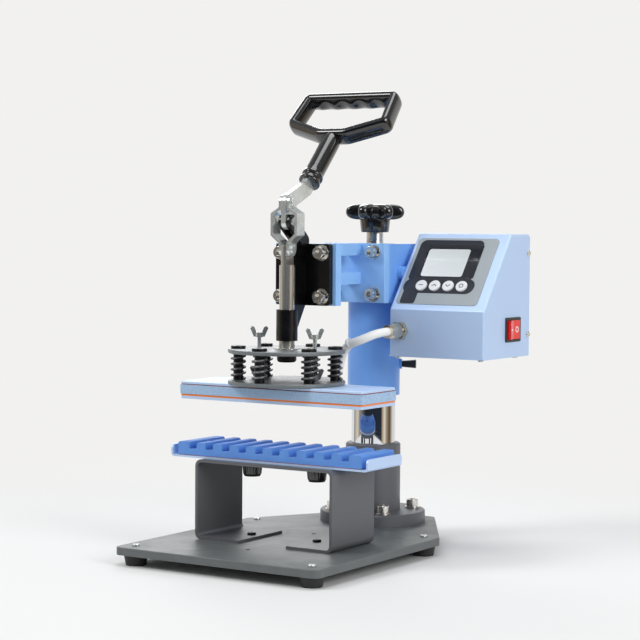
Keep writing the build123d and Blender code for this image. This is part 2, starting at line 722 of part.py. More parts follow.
# Tray with a lip at each end, its bends rounded and its lip corners cut round
with BuildPart() as tray:
    with BuildSketch(front_plane(TRAY_BACK)) as tray_section:
        with Locations((0, BRACKET_TOP)):
            Rectangle(TRAY_LENGTH, TRAY_LIP_HEIGHT, align=(Align.CENTER, Align.MIN))
        fillet(tray_section.vertices().group_by(Axis.Y)[0], TRAY_BEND)
        with Locations((0, TRAY_TOP)):
            Rectangle(
                TRAY_LENGTH - 2 * TRAY_SHEET,
                TRAY_LIP_HEIGHT,
                align=(Align.CENTER, Align.MIN),
                mode=Mode.SUBTRACT,
            )
        inner_bends = [v for v in tray_section.vertices() if abs(v.Y - TRAY_TOP) < 0.01]
        fillet(inner_bends, TRAY_BEND - TRAY_SHEET)
    extrude(amount=TRAY_FRONT + TRAY_BACK)
    lip_corners = tray.edges().filter_by(Axis.X).group_by(Axis.Z)[-1]
    fillet(lip_corners, TRAY_LIP_CORNER)
    with BuildSketch(Plane.XY.offset(BRACKET_TOP)):
        with Locations(*TRAY_KNOB_PLACES):
            Circle(TRAY_STUD_DIAMETER / 2 + RUNNING_FIT)
    extrude(amount=TRAY_SHEET, mode=Mode.SUBTRACT)

with BuildPart() as mould_pad:
    with BuildSketch(Plane.XY.offset(TRAY_TOP)):
        with Locations((0, (MOULD_BACK - MOULD_FRONT) / 2)):
            Rectangle(MOULD_LENGTH - 2 * PAD_INSET, MOULD_FRONT + MOULD_BACK)
        with Locations(*TRAY_KNOB_PLACES):
            Circle(TRAY_STUD_DIAMETER / 2 + MOVING_GAP, mode=Mode.SUBTRACT)
    extrude(amount=PAD_THICKNESS)

# Silicone mould: a row of square grooves between ribs with rounded tops
with BuildPart() as pen_mould:
    with BuildSketch(front_plane(MOULD_BACK)) as mould_section:
        with Locations((0, MOULD_BOTTOM)):
            Rectangle(MOULD_LENGTH, MOULD_HEIGHT, align=(Align.CENTER, Align.MIN))
        with Locations((0, MOULD_TOP - GROOVE_DEPTH / 2)):
            with GridLocations(GROOVE_PITCH, GROOVE_DEPTH, GROOVE_COUNT, 1):
                Rectangle(GROOVE_WIDTH, GROOVE_DEPTH, mode=Mode.SUBTRACT)
        fillet(mould_section.vertices().group_by(Axis.Y)[-1], RIB_ROUNDING)
    extrude(amount=MOULD_FRONT + MOULD_BACK)
    with BuildSketch(Plane.XY.offset(MOULD_BOTTOM)):
        with Locations(*TRAY_KNOB_PLACES):
            Circle(TRAY_STUD_DIAMETER / 2 + RUNNING_FIT)
    extrude(amount=TRAY_STUD_REACH + MOVING_GAP, mode=Mode.SUBTRACT)

# The two thumb knobs hang under the bracket and hold the tray down
tray_knob_level = BRACKET_TOP - BRACKET_SHEET - MOVING_GAP

with BuildPart() as left_tray_knob:
    with Locations((*TRAY_KNOB_PLACES[0], tray_knob_level)):
        add(tray_knob())

with BuildPart() as right_tray_knob:
    with Locations((*TRAY_KNOB_PLACES[1], tray_knob_level)):
        add(tray_knob())

# Lift bush: slides on the post, carries the sleeve on its shoulder and hangs on the screw
bush_radius = SLEEVE_BORE_DIAMETER / 2 - RUNNING_FIT
bush_bottom = SLEEVE_BOTTOM + BUSH_RISE
bush_shoulder = SLEEVE_TOP - SLEEVE_CAP - MOVING_GAP
bush_roof = bush_shoulder - BUSH_ROOF_THICKNESS
neck_radius = SPINDLE_DIAMETER / 2 + BUSH_NECK_WALL

with BuildPart() as lift_bush:
    with BuildSketch(Plane.XY.offset(bush_bottom)):
        with Locations((0, POST_BEHIND)):
            Circle(bush_radius)
    extrude(amount=bush_shoulder - bush_bottom)
    with BuildSketch(Plane.XY.offset(bush_shoulder)):
        with Locations((0, POST_BEHIND)):
            Circle(neck_radius)
    extrude(amount=SLEEVE_CAP + 2 * MOVING_GAP)
    with BuildSketch(Plane.XY.offset(bush_bottom)):
        with Locations((0, POST_BEHIND)):
            Circle(POST_DIAMETER / 2 + RUNNING_FIT)
    extrude(amount=bush_roof - bush_bottom, mode=Mode.SUBTRACT)
    with BuildSketch(Plane.XY.offset(bush_roof)):
        with Locations((0, POST_BEHIND)):
            Circle(SPINDLE_DIAMETER / 2 + RUNNING_FIT)
    extrude(amount=SLEEVE_TOP - bush_roof + 2 * MOVING_GAP, mode=Mode.SUBTRACT)

with BuildPart() as lift_collar:
    with BuildSketch(Plane.XY.offset(SLEEVE_TOP + MOVING_GAP)):
        with Locations((0, POST_BEHIND)):
            Circle(LIFT_COLLAR_DIAMETER / 2)
            Circle(SPINDLE_DIAMETER / 2 + RUNNING_FIT, mode=Mode.SUBTRACT)
    extrude(amount=LIFT_COLLAR_THICKNESS)

# Height screw with a retaining collar under the bush's roof and a cross hole at the top
spindle_bottom = POST_TOP - LIFT_TRAVEL * 2
spindle_top = KNOB_HUB_BOTTOM + KNOB_HUB_HEIGHT * 0.75

with BuildPart() as height_spindle:
    with BuildSketch(Plane.XY.offset(spindle_bottom)):
        with Locations((0, POST_BEHIND)):
            Circle(SPINDLE_DIAMETER / 2)
    extrude(amount=spindle_top - spindle_bottom)
    with BuildSketch(Plane.XY.offset(bush_roof - MOVING_GAP - RETAINER_THICKNESS)):
        with Locations((0, POST_BEHIND)):
            Circle(SPINDLE_DIAMETER / 2 + RETAINER_WIDTH)
    extrude(amount=RETAINER_THICKNESS)
    with BuildSketch(front_plane(POST_BEHIND + SPINDLE_DIAMETER)):
        with Locations((0, KNOB_HUB_BOTTOM - SPINDLE_CROSS_HOLE_DROP)):
            Circle(SPINDLE_CROSS_HOLE / 2)
    extrude(amount=2 * SPINDLE_DIAMETER, mode=Mode.SUBTRACT)

# Star knob of six rounded arms on a tapered hub
with BuildPart() as height_knob:
    with BuildSketch(Plane.XY.offset(KNOB_HUB_BOTTOM)):
        with Locations((0, POST_BEHIND)):
            Circle(KNOB_HUB_BASE_DIAMETER / 2)
    with BuildSketch(Plane.XY.offset(KNOB_HUB_BOTTOM + KNOB_HUB_HEIGHT)):
        with Locations((0, POST_BEHIND)):
            Circle(KNOB_HUB_DIAMETER / 2)
    loft()
    with BuildSketch(Plane.XY.offset(KNOB_HUB_BOTTOM + KNOB_HUB_HEIGHT)) as star:
        with Locations((0, POST_BEHIND)):
            Circle(KNOB_HUB_DIAMETER / 2 + KNOB_WAIST)
            with PolarLocations(0, KNOB_ARM_COUNT, start_angle=KNOB_ARM_TURN):
                SlotOverall(KNOB_OVERALL, KNOB_ARM_WIDTH)
        root_limit = (KNOB_OVERALL - KNOB_ARM_WIDTH) / 2 - 1
        arm_roots = star.vertices().filter_by(
            lambda corner: math.hypot(corner.X, corner.Y - POST_BEHIND) < root_limit
        )
        fillet(arm_roots, KNOB_ARM_ROOT)
    extrude(amount=KNOB_ARM_HEIGHT)
    fillet(height_knob.edges().group_by(Axis.Z)[-1], KNOB_ROUNDING)
    with BuildSketch(Plane.XY.offset(KNOB_HUB_BOTTOM)):
        with Locations((0, POST_BEHIND)):
            Circle(SPINDLE_DIAMETER / 2 + FIXED_FIT)
    extrude(amount=spindle_top - KNOB_HUB_BOTTOM + FIXED_FIT, mode=Mode.SUBTRACT)

# Sleeve welded into a channel that is open at the top
lock_direction = (math.cos(math.radians(LOCK_ANGLE)), math.sin(math.radians(LOCK_ANGLE)), 0)
lock_plane = Plane(origin=(0, POST_BEHIND, LOCK_HEIGHT), x_dir=(0, 0, 1), z_dir=lock_direction)
lock_boss_end = SLEEVE_DIAMETER / 2 + LOCK_BOSS_LENGTH
channel_walls = CHANNEL_WIDTH - 2 * CHANNEL_SHEET
spacer_places = [
    (CHANNEL_FRONT + BOX_SPACER_FRONT_INSET, ARM_PLATE_MIDDLE),
    (CHANNEL_BACK - BOX_SPACER_BACK_INSET, ARM_PLATE_MIDDLE),
]

with BuildPart() as arm_sleeve:
    with BuildSketch(Plane.XY.offset(ARM_PLATE_BOTTOM)):
        with Locations((0, CHANNEL_FRONT)):
            Rectangle(CHANNEL_WIDTH, CHANNEL_BACK - CHANNEL_FRONT, align=(Align.CENTER, Align.MIN))
    extrude(amount=ARM_PLATE_HEIGHT - EDGE_BREAK)
    fillet(arm_sleeve.edges().filter_by(Axis.Z).group_by(Axis.Y)[0], CHANNEL_CORNER)
    with BuildSketch(Plane.XY.offset(ARM_PLATE_BOTTOM + CHANNEL_SHEET)):
        with Locations((0, CHANNEL_FRONT + CHANNEL_WEB)):
            Rectangle(channel_walls, CHANNEL_BACK - CHANNEL_FRONT, align=(Align.CENTER, Align.MIN))
    extrude(amount=ARM_PLATE_HEIGHT, mode=Mode.SUBTRACT)
    with BuildSketch(front_plane(CHANNEL_FRONT)):
        with Locations(*ARM_BOLT_GRID):
            Circle(BOLT_DIAMETER / 2 + FIXED_FIT)
    extrude(amount=-CHANNEL_WEB, mode=Mode.SUBTRACT)
    with BuildSketch(Plane.XY.offset(SLEEVE_BOTTOM)):
        with Locations((0, POST_BEHIND)):
            Circle(SLEEVE_DIAMETER / 2)
    extrude(amount=SLEEVE_TOP - SLEEVE_BOTTOM)
    with BuildSketch(lock_plane):
        Circle(LOCK_BOSS_DIAMETER / 2)
    extrude(amount=lock_boss_end)
    with BuildSketch(Plane.YZ.offset(CHANNEL_WIDTH / 2 - CHANNEL_SHEET)):
        with Locations(*spacer_places):
            Circle(BOX_SPACER_DIAMETER / 2)
    extrude(amount=BOX_LEFT - CHANNEL_WIDTH / 2 + CHANNEL_SHEET)
    with BuildSketch(Plane.XY.offset(SLEEVE_BOTTOM)):
        with Locations((0, POST_BEHIND)):
            Circle(SLEEVE_BORE_DIAMETER / 2)
    extrude(amount=SLEEVE_TOP - SLEEVE_CAP - SLEEVE_BOTTOM, mode=Mode.SUBTRACT)
    with BuildSketch(Plane.XY.offset(SLEEVE_TOP - SLEEVE_CAP)):
        with Locations((0, POST_BEHIND)):
            Circle(neck_radius + MOVING_GAP)
    extrude(amount=SLEEVE_CAP, mode=Mode.SUBTRACT)
    with BuildSketch(lock_plane):
        Circle(LOCK_SCREW_DIAMETER / 2 + RUNNING_FIT)
    extrude(amount=lock_boss_end, mode=Mode.SUBTRACT)

# Lock screw with its conical knob
with BuildPart() as lock_knob:
    with BuildSketch(lock_plane.offset(lock_boss_end + MOVING_GAP)):
        Circle(LOCK_KNOB_DIAMETER * 0.37)
    with BuildSketch(lock_plane.offset(lock_boss_end + MOVING_GAP + LOCK_KNOB_LENGTH)):
        Circle(LOCK_KNOB_DIAMETER / 2)
    loft()
    with BuildSketch(lock_plane.offset(SLEEVE_BORE_DIAMETER / 2 + MOVING_GAP)):
        Circle(LOCK_SCREW_DIAMETER / 2)
    extrude(amount=lock_boss_end - SLEEVE_BORE_DIAMETER / 2)

# Arm bracket: front and rear plates with two bars between them
with BuildPart() as arm_bracket:
    with BuildSketch(front_plane(ARM_FRONT + ARM_PLATE_THICKNESS)):
        with Locations((0, ARM_PLATE_MIDDLE)):
            Rectangle(ARM_FRONT_PLATE_WIDTH, ARM_PLATE_HEIGHT)
    extrude(amount=ARM_PLATE_THICKNESS)
    with BuildSketch(front_plane(CHANNEL_FRONT)):
        with Locations((0, ARM_PLATE_MIDDLE)):
            Rectangle(CHANNEL_WIDTH, ARM_PLATE_HEIGHT)
    extrude(amount=ARM_PLATE_THICKNESS)
    chamfer(arm_bracket.edges().filter_by(Axis.Z), ARM_PLATE_EDGE)
    with BuildSketch(front_plane(ARM_REAR_PLATE_FRONT)):
        with Locations((0, ARM_PLATE_TOP - ARM_BAR_HEIGHT / 2)):
            Rectangle(ARM_BAR_WIDTH, ARM_BAR_HEIGHT)
        with Locations((0, ARM_PLATE_BOTTOM + ARM_LOWER_BAR_RISE + ARM_BAR_HEIGHT / 2)):
            Rectangle(ARM_BAR_WIDTH, ARM_BAR_HEIGHT)
    extrude(amount=ARM_REAR_PLATE_FRONT - ARM_FRONT - ARM_PLATE_THICKNESS)
    with BuildSketch(front_plane(CHANNEL_FRONT)):
        with Locations(*ARM_BOLT_GRID):
            Circle(BOLT_DIAMETER / 2 + FIXED_FIT)
    extrude(amount=CHANNEL_FRONT - ARM_FRONT, mode=Mode.SUBTRACT)

with BuildPart() as arm_washers:
    with facing_front(ARM_BOLT_GRID, CLAMP_FLANGE_FRONT):
        add(washer())
    with facing_front(ARM_BOLT_GRID, ARM_REAR_PLATE_FRONT):
        add(washer())

with BuildPart() as arm_bolts:
    with facing_front(ARM_BOLT_GRID, CLAMP_FLANGE_FRONT - WASHER_THICKNESS):
        add(socket_screw(WASHER_THICKNESS + CLAMP_FLANGE_THICKNESS + ARM_PLATE_THICKNESS - 0.5))
    with facing_front(ARM_BOLT_GRID, ARM_REAR_PLATE_FRONT - WASHER_THICKNESS):
        add(socket_screw(WASHER_THICKNESS + ARM_PLATE_THICKNESS + CHANNEL_WEB - 4.0))

# Clamp frame: flange, web, guide barrel and the two ears of the lever's pivot
ear_outer = LEVER_THICKNESS / 2 + MOVING_GAP + CLAMP_EAR_THICKNESS

with BuildPart() as clamp_frame:
    with BuildSketch(front_plane(ARM_FRONT)):
        with Locations((0, ARM_PLATE_MIDDLE)):
            RectangleRounded(CLAMP_FLANGE_WIDTH, ARM_PLATE_HEIGHT, CLAMP_FLANGE_CORNER)
        with Locations(*ARM_BOLT_GRID):
            Circle(BOLT_DIAMETER / 2 + FIXED_FIT, mode=Mode.SUBTRACT)
    extrude(amount=CLAMP_FLANGE_THICKNESS)
    with BuildSketch(Plane.YZ):
        with BuildLine():
            Polyline(
                (CLAMP_FLANGE_FRONT + CLAMP_WEB_INSET, ARM_PLATE_BOTTOM + CLAMP_WEB_INSET),
                (CLAMP_WEB_FRONT, BARREL_BOTTOM + CLAMP_WEB_RISE),
                (CLAMP_WEB_FRONT, CLAMP_EAR_ROOT[1] - CLAMP_WEB_RISE),
                (CLAMP_EAR_ROOT[0] - CLAMP_NECK[0], CLAMP_EAR_ROOT[1] + CLAMP_NECK[1]),
                (CLAMP_EAR_ROOT[0] + CLAMP_BACK_NECK[0], CLAMP_EAR_ROOT[1] + CLAMP_BACK_NECK[1]),
                (CLAMP_FLANGE_FRONT + CLAMP_WEB_TOP_LENGTH, ARM_PLATE_TOP),
                (CLAMP_FLANGE_FRONT + CLAMP_WEB_INSET, ARM_PLATE_TOP),
                close=True,
            )
        make_face()
    extrude(amount=CLAMP_WEB_THICKNESS / 2, both=True)
    with BuildSketch(Plane.YZ):
        with Locations((0, PIVOT_HEIGHT)):
            Circle(CLAMP_EAR_RADIUS)
        with Locations(CLAMP_EAR_ROOT):
            Circle(CLAMP_EAR_ROOT_RADIUS)
        make_hull()
    extrude(amount=ear_outer, both=True)
    with BuildSketch(Plane.YZ):
        with Locations((CLAMP_WEB_FRONT, PIVOT_HEIGHT)):
            Rectangle(*CLAMP_SLOT_SIZE, align=(Align.MAX, Align.CENTER))
    extrude(amount=LEVER_THICKNESS / 2 + MOVING_GAP, both=True, mode=Mode.SUBTRACT)
    with BuildSketch(Plane.XY.offset(BARREL_BOTTOM)):
        Circle(BARREL_DIAMETER / 2)
    extrude(amount=BARREL_TOP - BARREL_BOTTOM)
    with BuildSketch(Plane.XY.offset(BARREL_BOTTOM)):
        Circle(ROD_DIAMETER / 2 + RUNNING_FIT)
    extrude(amount=BARREL_TOP - BARREL_BOTTOM, mode=Mode.SUBTRACT)
    with BuildSketch(Plane.YZ):
        with Locations((0, PIVOT_HEIGHT)):
            Circle(PIVOT_PIN_DIAMETER / 2 + FIXED_FIT)
    extrude(amount=ear_outer, both=True, mode=Mode.SUBTRACT)

with BuildPart() as pivot_pin:
    with BuildSketch(Plane.YZ):
        with Locations((0, PIVOT_HEIGHT)):
            Circle(PIVOT_PIN_DIAMETER / 2)
    extrude(amount=ear_outer, both=True)
    for side in (-1, 1):
        with BuildSketch(Plane.YZ.offset(side * ear_outer)):
            with Locations((0, PIVOT_HEIGHT)):
                Circle(PIN_HEAD_DIAMETER / 2)
        extrude(amount=side * PIN_HEAD_HEIGHT)
    pin_rims = [*pivot_pin.edges().group_by(Axis.X)[0], *pivot_pin.edges().group_by(Axis.X)[-1]]
    fillet(pin_rims, PIN_HEAD_EDGE)

# Lever: a flat bar that turns in the ears and runs back into the stem of the handle
lever_bend = STEM_PLANE.from_local_coords(Vector(0, 0, -LEVER_BEND_BEFORE_STEM))
lever_tail = STEM_PLANE.from_local_coords(Vector(0, 0, LEVER_TAIL_LENGTH))
lever_points = [
    (0, PIVOT_HEIGHT),
    (0, UPPER_RIVET_HEIGHT),
    (lever_bend.Y, lever_bend.Z),
    (lever_tail.Y, lever_tail.Z),
]

with BuildPart() as lever:
    with BuildSketch(Plane.YZ):
        for start, end in zip(lever_points, lever_points[1:]):
            with BuildLine():
                Line(start, end)
            trace(line_width=LEVER_WIDTH)
        with Locations(*lever_points[:3]):
            Circle(LEVER_WIDTH / 2)
    extrude(amount=LEVER_THICKNESS / 2, both=True)
    with BuildSketch(Plane.YZ):
        with Locations(*lever_points[:2]):
            Circle(PIVOT_PIN_DIAMETER / 2 + RUNNING_FIT)
    extrude(amount=LEVER_THICKNESS / 2, both=True, mode=Mode.SUBTRACT)

# Handle: a rounded frame on a collared stem
half_top = HANDLE_TOP_WIDTH / 2
half_shoulder = HANDLE_SHOULDER_WIDTH / 2
half_throat = HANDLE_THROAT_WIDTH / 2

with BuildPart() as handle:
    with BuildSketch(HANDLE_PLANE) as handle_outline:
        with BuildLine():
            Polyline(
                (-half_top, HANDLE_TOP),
                (-half_shoulder, HANDLE_SHOULDER),
                (-half_throat, HANDLE_THROAT),
                (half_throat, HANDLE_THROAT),
                (half_shoulder, HANDLE_SHOULDER),
                (half_top, HANDLE_TOP),
                close=True,
            )
        make_face()
        offset(amount=-HANDLE_BAR, kind=Kind.INTERSECTION, mode=Mode.SUBTRACT)
        fillet(handle_outline.vertices(), HANDLE_CORNER)
    extrude(amount=HANDLE_DEPTH / 2, both=True)
    front_and_back = handle.faces().filter_by(HANDLE_PLANE)
    fillet(front_and_back.edges(), HANDLE_ROUNDING)
    with BuildSketch(STEM_PLANE):
        Circle(STEM_DIAMETER / 2)
    extrude(amount=STEM_LENGTH)
    for collar_start in (0, COLLAR_PITCH):
        with BuildSketch(STEM_PLANE.offset(collar_start)):
            Circle(COLLAR_DIAMETER / 2)
        extrude(amount=COLLAR_LENGTH)
    with BuildSketch(STEM_PLANE):
        Rectangle(LEVER_THICKNESS + 2 * FIXED_FIT, LEVER_WIDTH + 2 * FIXED_FIT)
    extrude(amount=LEVER_TAIL_LENGTH + FIXED_FIT, mode=Mode.SUBTRACT)

# Toggle links: a pair of strips that bow outward round the lever's pivot
link_outer = LINK_INNER + LINK_THICKNESS
loop_outer = LINK_LOOP_WIDTH / 2
loop_inner = loop_outer - LINK_THICKNESS
link_bottom = LOWER_RIVET_HEIGHT - LINK_WIDTH / 2
link_top = UPPER_RIVET_HEIGHT + LINK_WIDTH / 2
lower_slant = math.atan2(loop_inner - LINK_INNER, LINK_LOOP_BOTTOM - LINK_SLANT_BOTTOM)
upper_slant = math.atan2(loop_inner - LINK_INNER, LINK_SLANT_TOP - LINK_LOOP_TOP)
lower_mitre = LINK_THICKNESS * math.tan(lower_slant / 2)
upper_mitre = LINK_THICKNESS * math.tan(upper_slant / 2)

with BuildPart() as toggle_links:
    with BuildSketch(front_plane(0)) as link_section:
        with BuildLine():
            Polyline(
                (LINK_INNER, link_bottom),
                (LINK_INNER, LINK_SLANT_BOTTOM),
                (loop_inner, LINK_LOOP_BOTTOM),
                (loop_inner, LINK_LOOP_TOP),
                (LINK_INNER, LINK_SLANT_TOP),
                (LINK_INNER, link_top),
                (link_outer, link_top),
                (link_outer, LINK_SLANT_TOP + upper_mitre),
                (loop_outer, LINK_LOOP_TOP + upper_mitre),
                (loop_outer, LINK_LOOP_BOTTOM - lower_mitre),
                (link_outer, LINK_SLANT_BOTTOM - lower_mitre),
                (link_outer, link_bottom),
                close=True,
            )
        make_face()
        bends = link_section.vertices().filter_by(lambda bend: link_bottom + 1 < bend.Y < link_top - 1)
        fillet(bends, LINK_BEND)
        mirror(about=Plane.YZ)
    extrude(amount=LINK_WIDTH / 2, both=True)
    with BuildSketch(Plane.YZ):
        with Locations((0, (link_bottom + link_top) / 2)):
            SlotOverall(LINK_LENGTH + LINK_WIDTH, LINK_WIDTH, rotation=90)
        with Locations((0, LOWER_RIVET_HEIGHT), (0, UPPER_RIVET_HEIGHT)):
            Circle(PIVOT_PIN_DIAMETER / 2 + FIXED_FIT, mode=Mode.SUBTRACT)
    extrude(amount=LINK_LOOP_WIDTH, both=True, mode=Mode.INTERSECT)

# Rivets: one through the lever, and two short ones that hold the plunger's tongue between them
with BuildPart() as link_rivets:
    with BuildSketch(Plane.YZ):
        with Locations((0, UPPER_RIVET_HEIGHT)):
            Circle(PIVOT_PIN_DIAMETER / 2)
    extrude(amount=link_outer, both=True)
    for side in (-1, 1):
        with BuildSketch(Plane.YZ.offset(side * LINK_INNER)):
            with Locations((0, LOWER_RIVET_HEIGHT)):
                Circle(PIVOT_PIN_DIAMETER / 2)
        extrude(amount=side * LINK_THICKNESS)
        with BuildSketch(Plane.YZ.offset(side * link_outer)):
            with Locations((0, LOWER_RIVET_HEIGHT), (0, UPPER_RIVET_HEIGHT)):
                Circle(PIN_HEAD_DIAMETER / 2)
        extrude(amount=side * PIN_HEAD_HEIGHT)
    rivet_rims = [*link_rivets.edges().group_by(Axis.X)[0], *link_rivets.edges().group_by(Axis.X)[-1]]
    fillet(rivet_rims, PIN_HEAD_EDGE)

# Plunger rod: collar and stud below, flat tongue with its rivet hole above
nut_bottom = UPPER_DISC_BOTTOM - ROD_NUT_HEIGHT

with BuildPart() as plunger_rod:
    with BuildSketch(Plane.XY.offset(nut_bottom + ROD_STUD_RECESS)):
        Circle(ROD_STUD_DIAMETER / 2)
    extrude(amount=UPPER_DISC_TOP - nut_bottom - ROD_STUD_RECESS)
    with BuildSketch(Plane.XY.offset(UPPER_DISC_TOP)):
        Circle(ROD_COLLAR_DIAMETER / 2)
    extrude(amount=ROD_COLLAR_THICKNESS)
    with BuildSketch(Plane.XY.offset(UPPER_DISC_TOP + ROD_COLLAR_THICKNESS)):
        Circle(ROD_DIAMETER / 2)
    extrude(amount=LOWER_RIVET_HEIGHT + ROD_EYE_RISE - UPPER_DISC_TOP - ROD_COLLAR_THICKNESS)
    with BuildSketch(Plane.XY.offset(ROD_TONGUE_START)):
        Rectangle(ROD_DIAMETER + 1, ROD_DIAMETER + 1)
        Rectangle(LEVER_THICKNESS, ROD_DIAMETER + 1, mode=Mode.SUBTRACT)
    extrude(amount=LINK_LENGTH, mode=Mode.SUBTRACT)
    with BuildSketch(Plane.YZ):
        with Locations((0, LOWER_RIVET_HEIGHT)):
            Circle(PIVOT_PIN_DIAMETER / 2 + RUNNING_FIT)
    extrude(amount=LEVER_THICKNESS, both=True, mode=Mode.SUBTRACT)

with BuildPart() as rod_nut:
    with BuildSketch(Plane.XY.offset(nut_bottom)):
        Circle(ROD_NUT_DIAMETER / 2)
    extrude(amount=ROD_NUT_HEIGHT)
    fillet(rod_nut.edges().group_by(Axis.Z)[0], ROD_NUT_ROUNDING)
    with BuildSketch(Plane.XY.offset(nut_bottom)):
        Circle(ROD_STUD_DIAMETER / 2 + FIXED_FIT)
    extrude(amount=ROD_NUT_HEIGHT, mode=Mode.SUBTRACT)

# Upper disc: bolted to the rod, slides on the six guide bolts
with BuildPart() as upper_disc:
    with BuildSketch(Plane.XY.offset(UPPER_DISC_BOTTOM)):
        Circle(DISC_DIAMETER / 2)
    extrude(amount=DISC_THICKNESS)
    chamfer(upper_disc.edges(), DISC_EDGE)
    with BuildSketch(Plane.XY.offset(UPPER_DISC_BOTTOM)):
        Circle(ROD_STUD_DIAMETER / 2 + FIXED_FIT)
        with Locations(*SPRING_PLACES):
            Circle(GUIDE_DIAMETER / 2 + MOVING_GAP)
        with Locations(*WING_BOLT_PLACES):
            Circle(WING_SHAFT_DIAMETER / 2 + RUNNING_FIT)
    extrude(amount=DISC_THICKNESS, mode=Mode.SUBTRACT)

# Lower disc, fixed on the cap of the platen
with BuildPart() as lower_disc:
    with BuildSketch(Plane.XY.offset(LOWER_DISC_BOTTOM)):
        Circle(DISC_DIAMETER / 2)
    extrude(amount=DISC_THICKNESS)
    chamfer(lower_disc.edges(), DISC_EDGE)
    with BuildSketch(Plane.XY.offset(LOWER_DISC_BOTTOM)):
        with Locations(*SPRING_PLACES):
            Circle(BOLT_DIAMETER / 2 + FIXED_FIT)
        with Locations(*WING_BOLT_PLACES):
            Circle(WING_SHAFT_DIAMETER / 2 + RUNNING_FIT)
    extrude(amount=DISC_THICKNESS, mode=Mode.SUBTRACT)

# Guide bolts: shouldered shanks screwed into the lower disc, low heads over the upper disc
with BuildPart() as guide_bolts:
    with BuildSketch(Plane.XY.offset(LOWER_DISC_BOTTOM + GUIDE_END_GAP)):
        with Locations(*SPRING_PLACES):
            Circle(BOLT_DIAMETER / 2)
    extrude(amount=DISC_THICKNESS - GUIDE_END_GAP)
    with BuildSketch(Plane.XY.offset(LOWER_DISC_BOTTOM + DISC_THICKNESS)):
        with Locations(*SPRING_PLACES):
            Circle(GUIDE_DIAMETER / 2)
    extrude(amount=DISC_GAP + DISC_THICKNESS)
    with BuildSketch(Plane.XY.offset(UPPER_DISC_TOP)):
        with Locations(*SPRING_PLACES):
            Circle(GUIDE_HEAD_DIAMETER / 2)
    extrude(amount=GUIDE_HEAD_HEIGHT)
    fillet(guide_bolts.edges().group_by(Axis.Z)[-1], GUIDE_HEAD_EDGE)
    with BuildSketch(Plane.XY.offset(UPPER_DISC_TOP + GUIDE_HEAD_HEIGHT)):
        with Locations(*SPRING_PLACES):
            RegularPolygon(GUIDE_SOCKET_FLATS / 2, 6, major_radius=False)
    extrude(amount=-GUIDE_SOCKET_DEPTH, mode=Mode.SUBTRACT)

# Pressure springs: each an unbroken helix of two arcs for every half turn
coil_radius = (SPRING_DIAMETER - SPRING_WIRE) / 2
coil_bottom = LOWER_DISC_BOTTOM + DISC_THICKNESS + SPRING_WIRE / 2 + SPRING_SEAT_GAP
coil_rise = DISC_GAP - SPRING_WIRE - 2 * SPRING_SEAT_GAP
half_turn_count = round(2 * SPRING_TURNS)
helix_slope = coil_rise / (SPRING_TURNS * 2 * math.pi * coil_radius)


def helix_point(half_turns):
    """Point of the helix after so many half turns."""
    angle = math.pi * half_turns
    return Vector(
        coil_radius * math.cos(angle),
        coil_radius * math.sin(angle),
        coil_bottom + coil_rise * half_turns / half_turn_count,
    )


def helix_tangent(half_turns):
    """Unit direction of the helix after so many half turns."""
    angle = math.pi * half_turns
    return Vector(-math.sin(angle), math.cos(angle), helix_slope).normalized()


def biarc_joint(start, start_tangent, end, end_tangent):
    """Point where two equal-legged tangent arcs meet, and the direction there."""
    chord = end - start
    both = start_tangent + end_tangent
    closing = 2 * (1 - start_tangent.dot(end_tangent))
    reach = -chord.dot(both) + math.sqrt(chord.dot(both) ** 2 + closing * chord.dot(chord))
    leg = reach / closing
    first_corner = start + start_tangent * leg
    second_corner = end - end_tangent * leg
    return (first_corner + second_corner) * 0.5, (second_corner - first_corner).normalized()


with BuildPart() as one_spring:
    with BuildLine() as coil_path:
        for half_turn in range(half_turn_count):
            coil_start = helix_point(half_turn)
            coil_end = helix_point(half_turn + 1)
            start_tangent = helix_tangent(half_turn)
            joint, joint_tangent = biarc_joint(
                coil_start, start_tangent, coil_end, helix_tangent(half_turn + 1)
            )
            TangentArc(coil_start, joint, tangent=start_tangent)
            TangentArc(joint, coil_end, tangent=joint_tangent)
    with BuildSketch(Plane(origin=helix_point(0), z_dir=helix_tangent(0))):
        Circle(SPRING_WIRE / 2)
    sweep(path=coil_path.wires()[0])

with BuildPart() as springs:
    with Locations(*SPRING_PLACES):
        add(one_spring.part)

sample_count = 401
coil_samples = [coil_path.wires()[0] @ (step / (sample_count - 1)) for step in range(sample_count)]
skip = math.ceil(sample_count / SPRING_TURNS / 2)
least_gap = min(
    (coil_samples[first] - coil_samples[second]).length - SPRING_WIRE
    for first in range(0, sample_count, 2)
    for second in range(first + skip, sample_count)
)
print(f"spring: least gap between turns {least_gap:.2f} mm")

# Heated platen, a stack of plates
with BuildPart() as heat_plate:
    with BuildSketch(Plane.XY.offset(HEAT_PLATE_BOTTOM)):
        RectangleRounded(PLATEN_LENGTH, PLATEN_WIDTH, PLATEN_CORNER)
    extrude(amount=HEAT_PLATE_THICKNESS)

with BuildPart() as platen_gasket:
    with BuildSketch(Plane.XY.offset(GASKET_BOTTOM)):
        RectangleRounded(PLATEN_LENGTH, PLATEN_WIDTH, PLATEN_CORNER)
    extrude(amount=GASKET_THICKNESS)

with BuildPart() as heater_block:
    with BuildSketch(Plane.XY.offset(BLOCK_BOTTOM)):
        RectangleRounded(
            PLATEN_LENGTH + 2 * BLOCK_OVERHANG,
            PLATEN_WIDTH + 2 * BLOCK_OVERHANG,
            PLATEN_CORNER,
        )
    extrude(amount=BLOCK_THICKNESS)

with BuildPart() as platen_seam:
    with BuildSketch(Plane.XY.offset(SEAM_BOTTOM)):
        RectangleRounded(PLATEN_LENGTH, PLATEN_WIDTH, PLATEN_CORNER)
    extrude(amount=SEAM_THICKNESS)

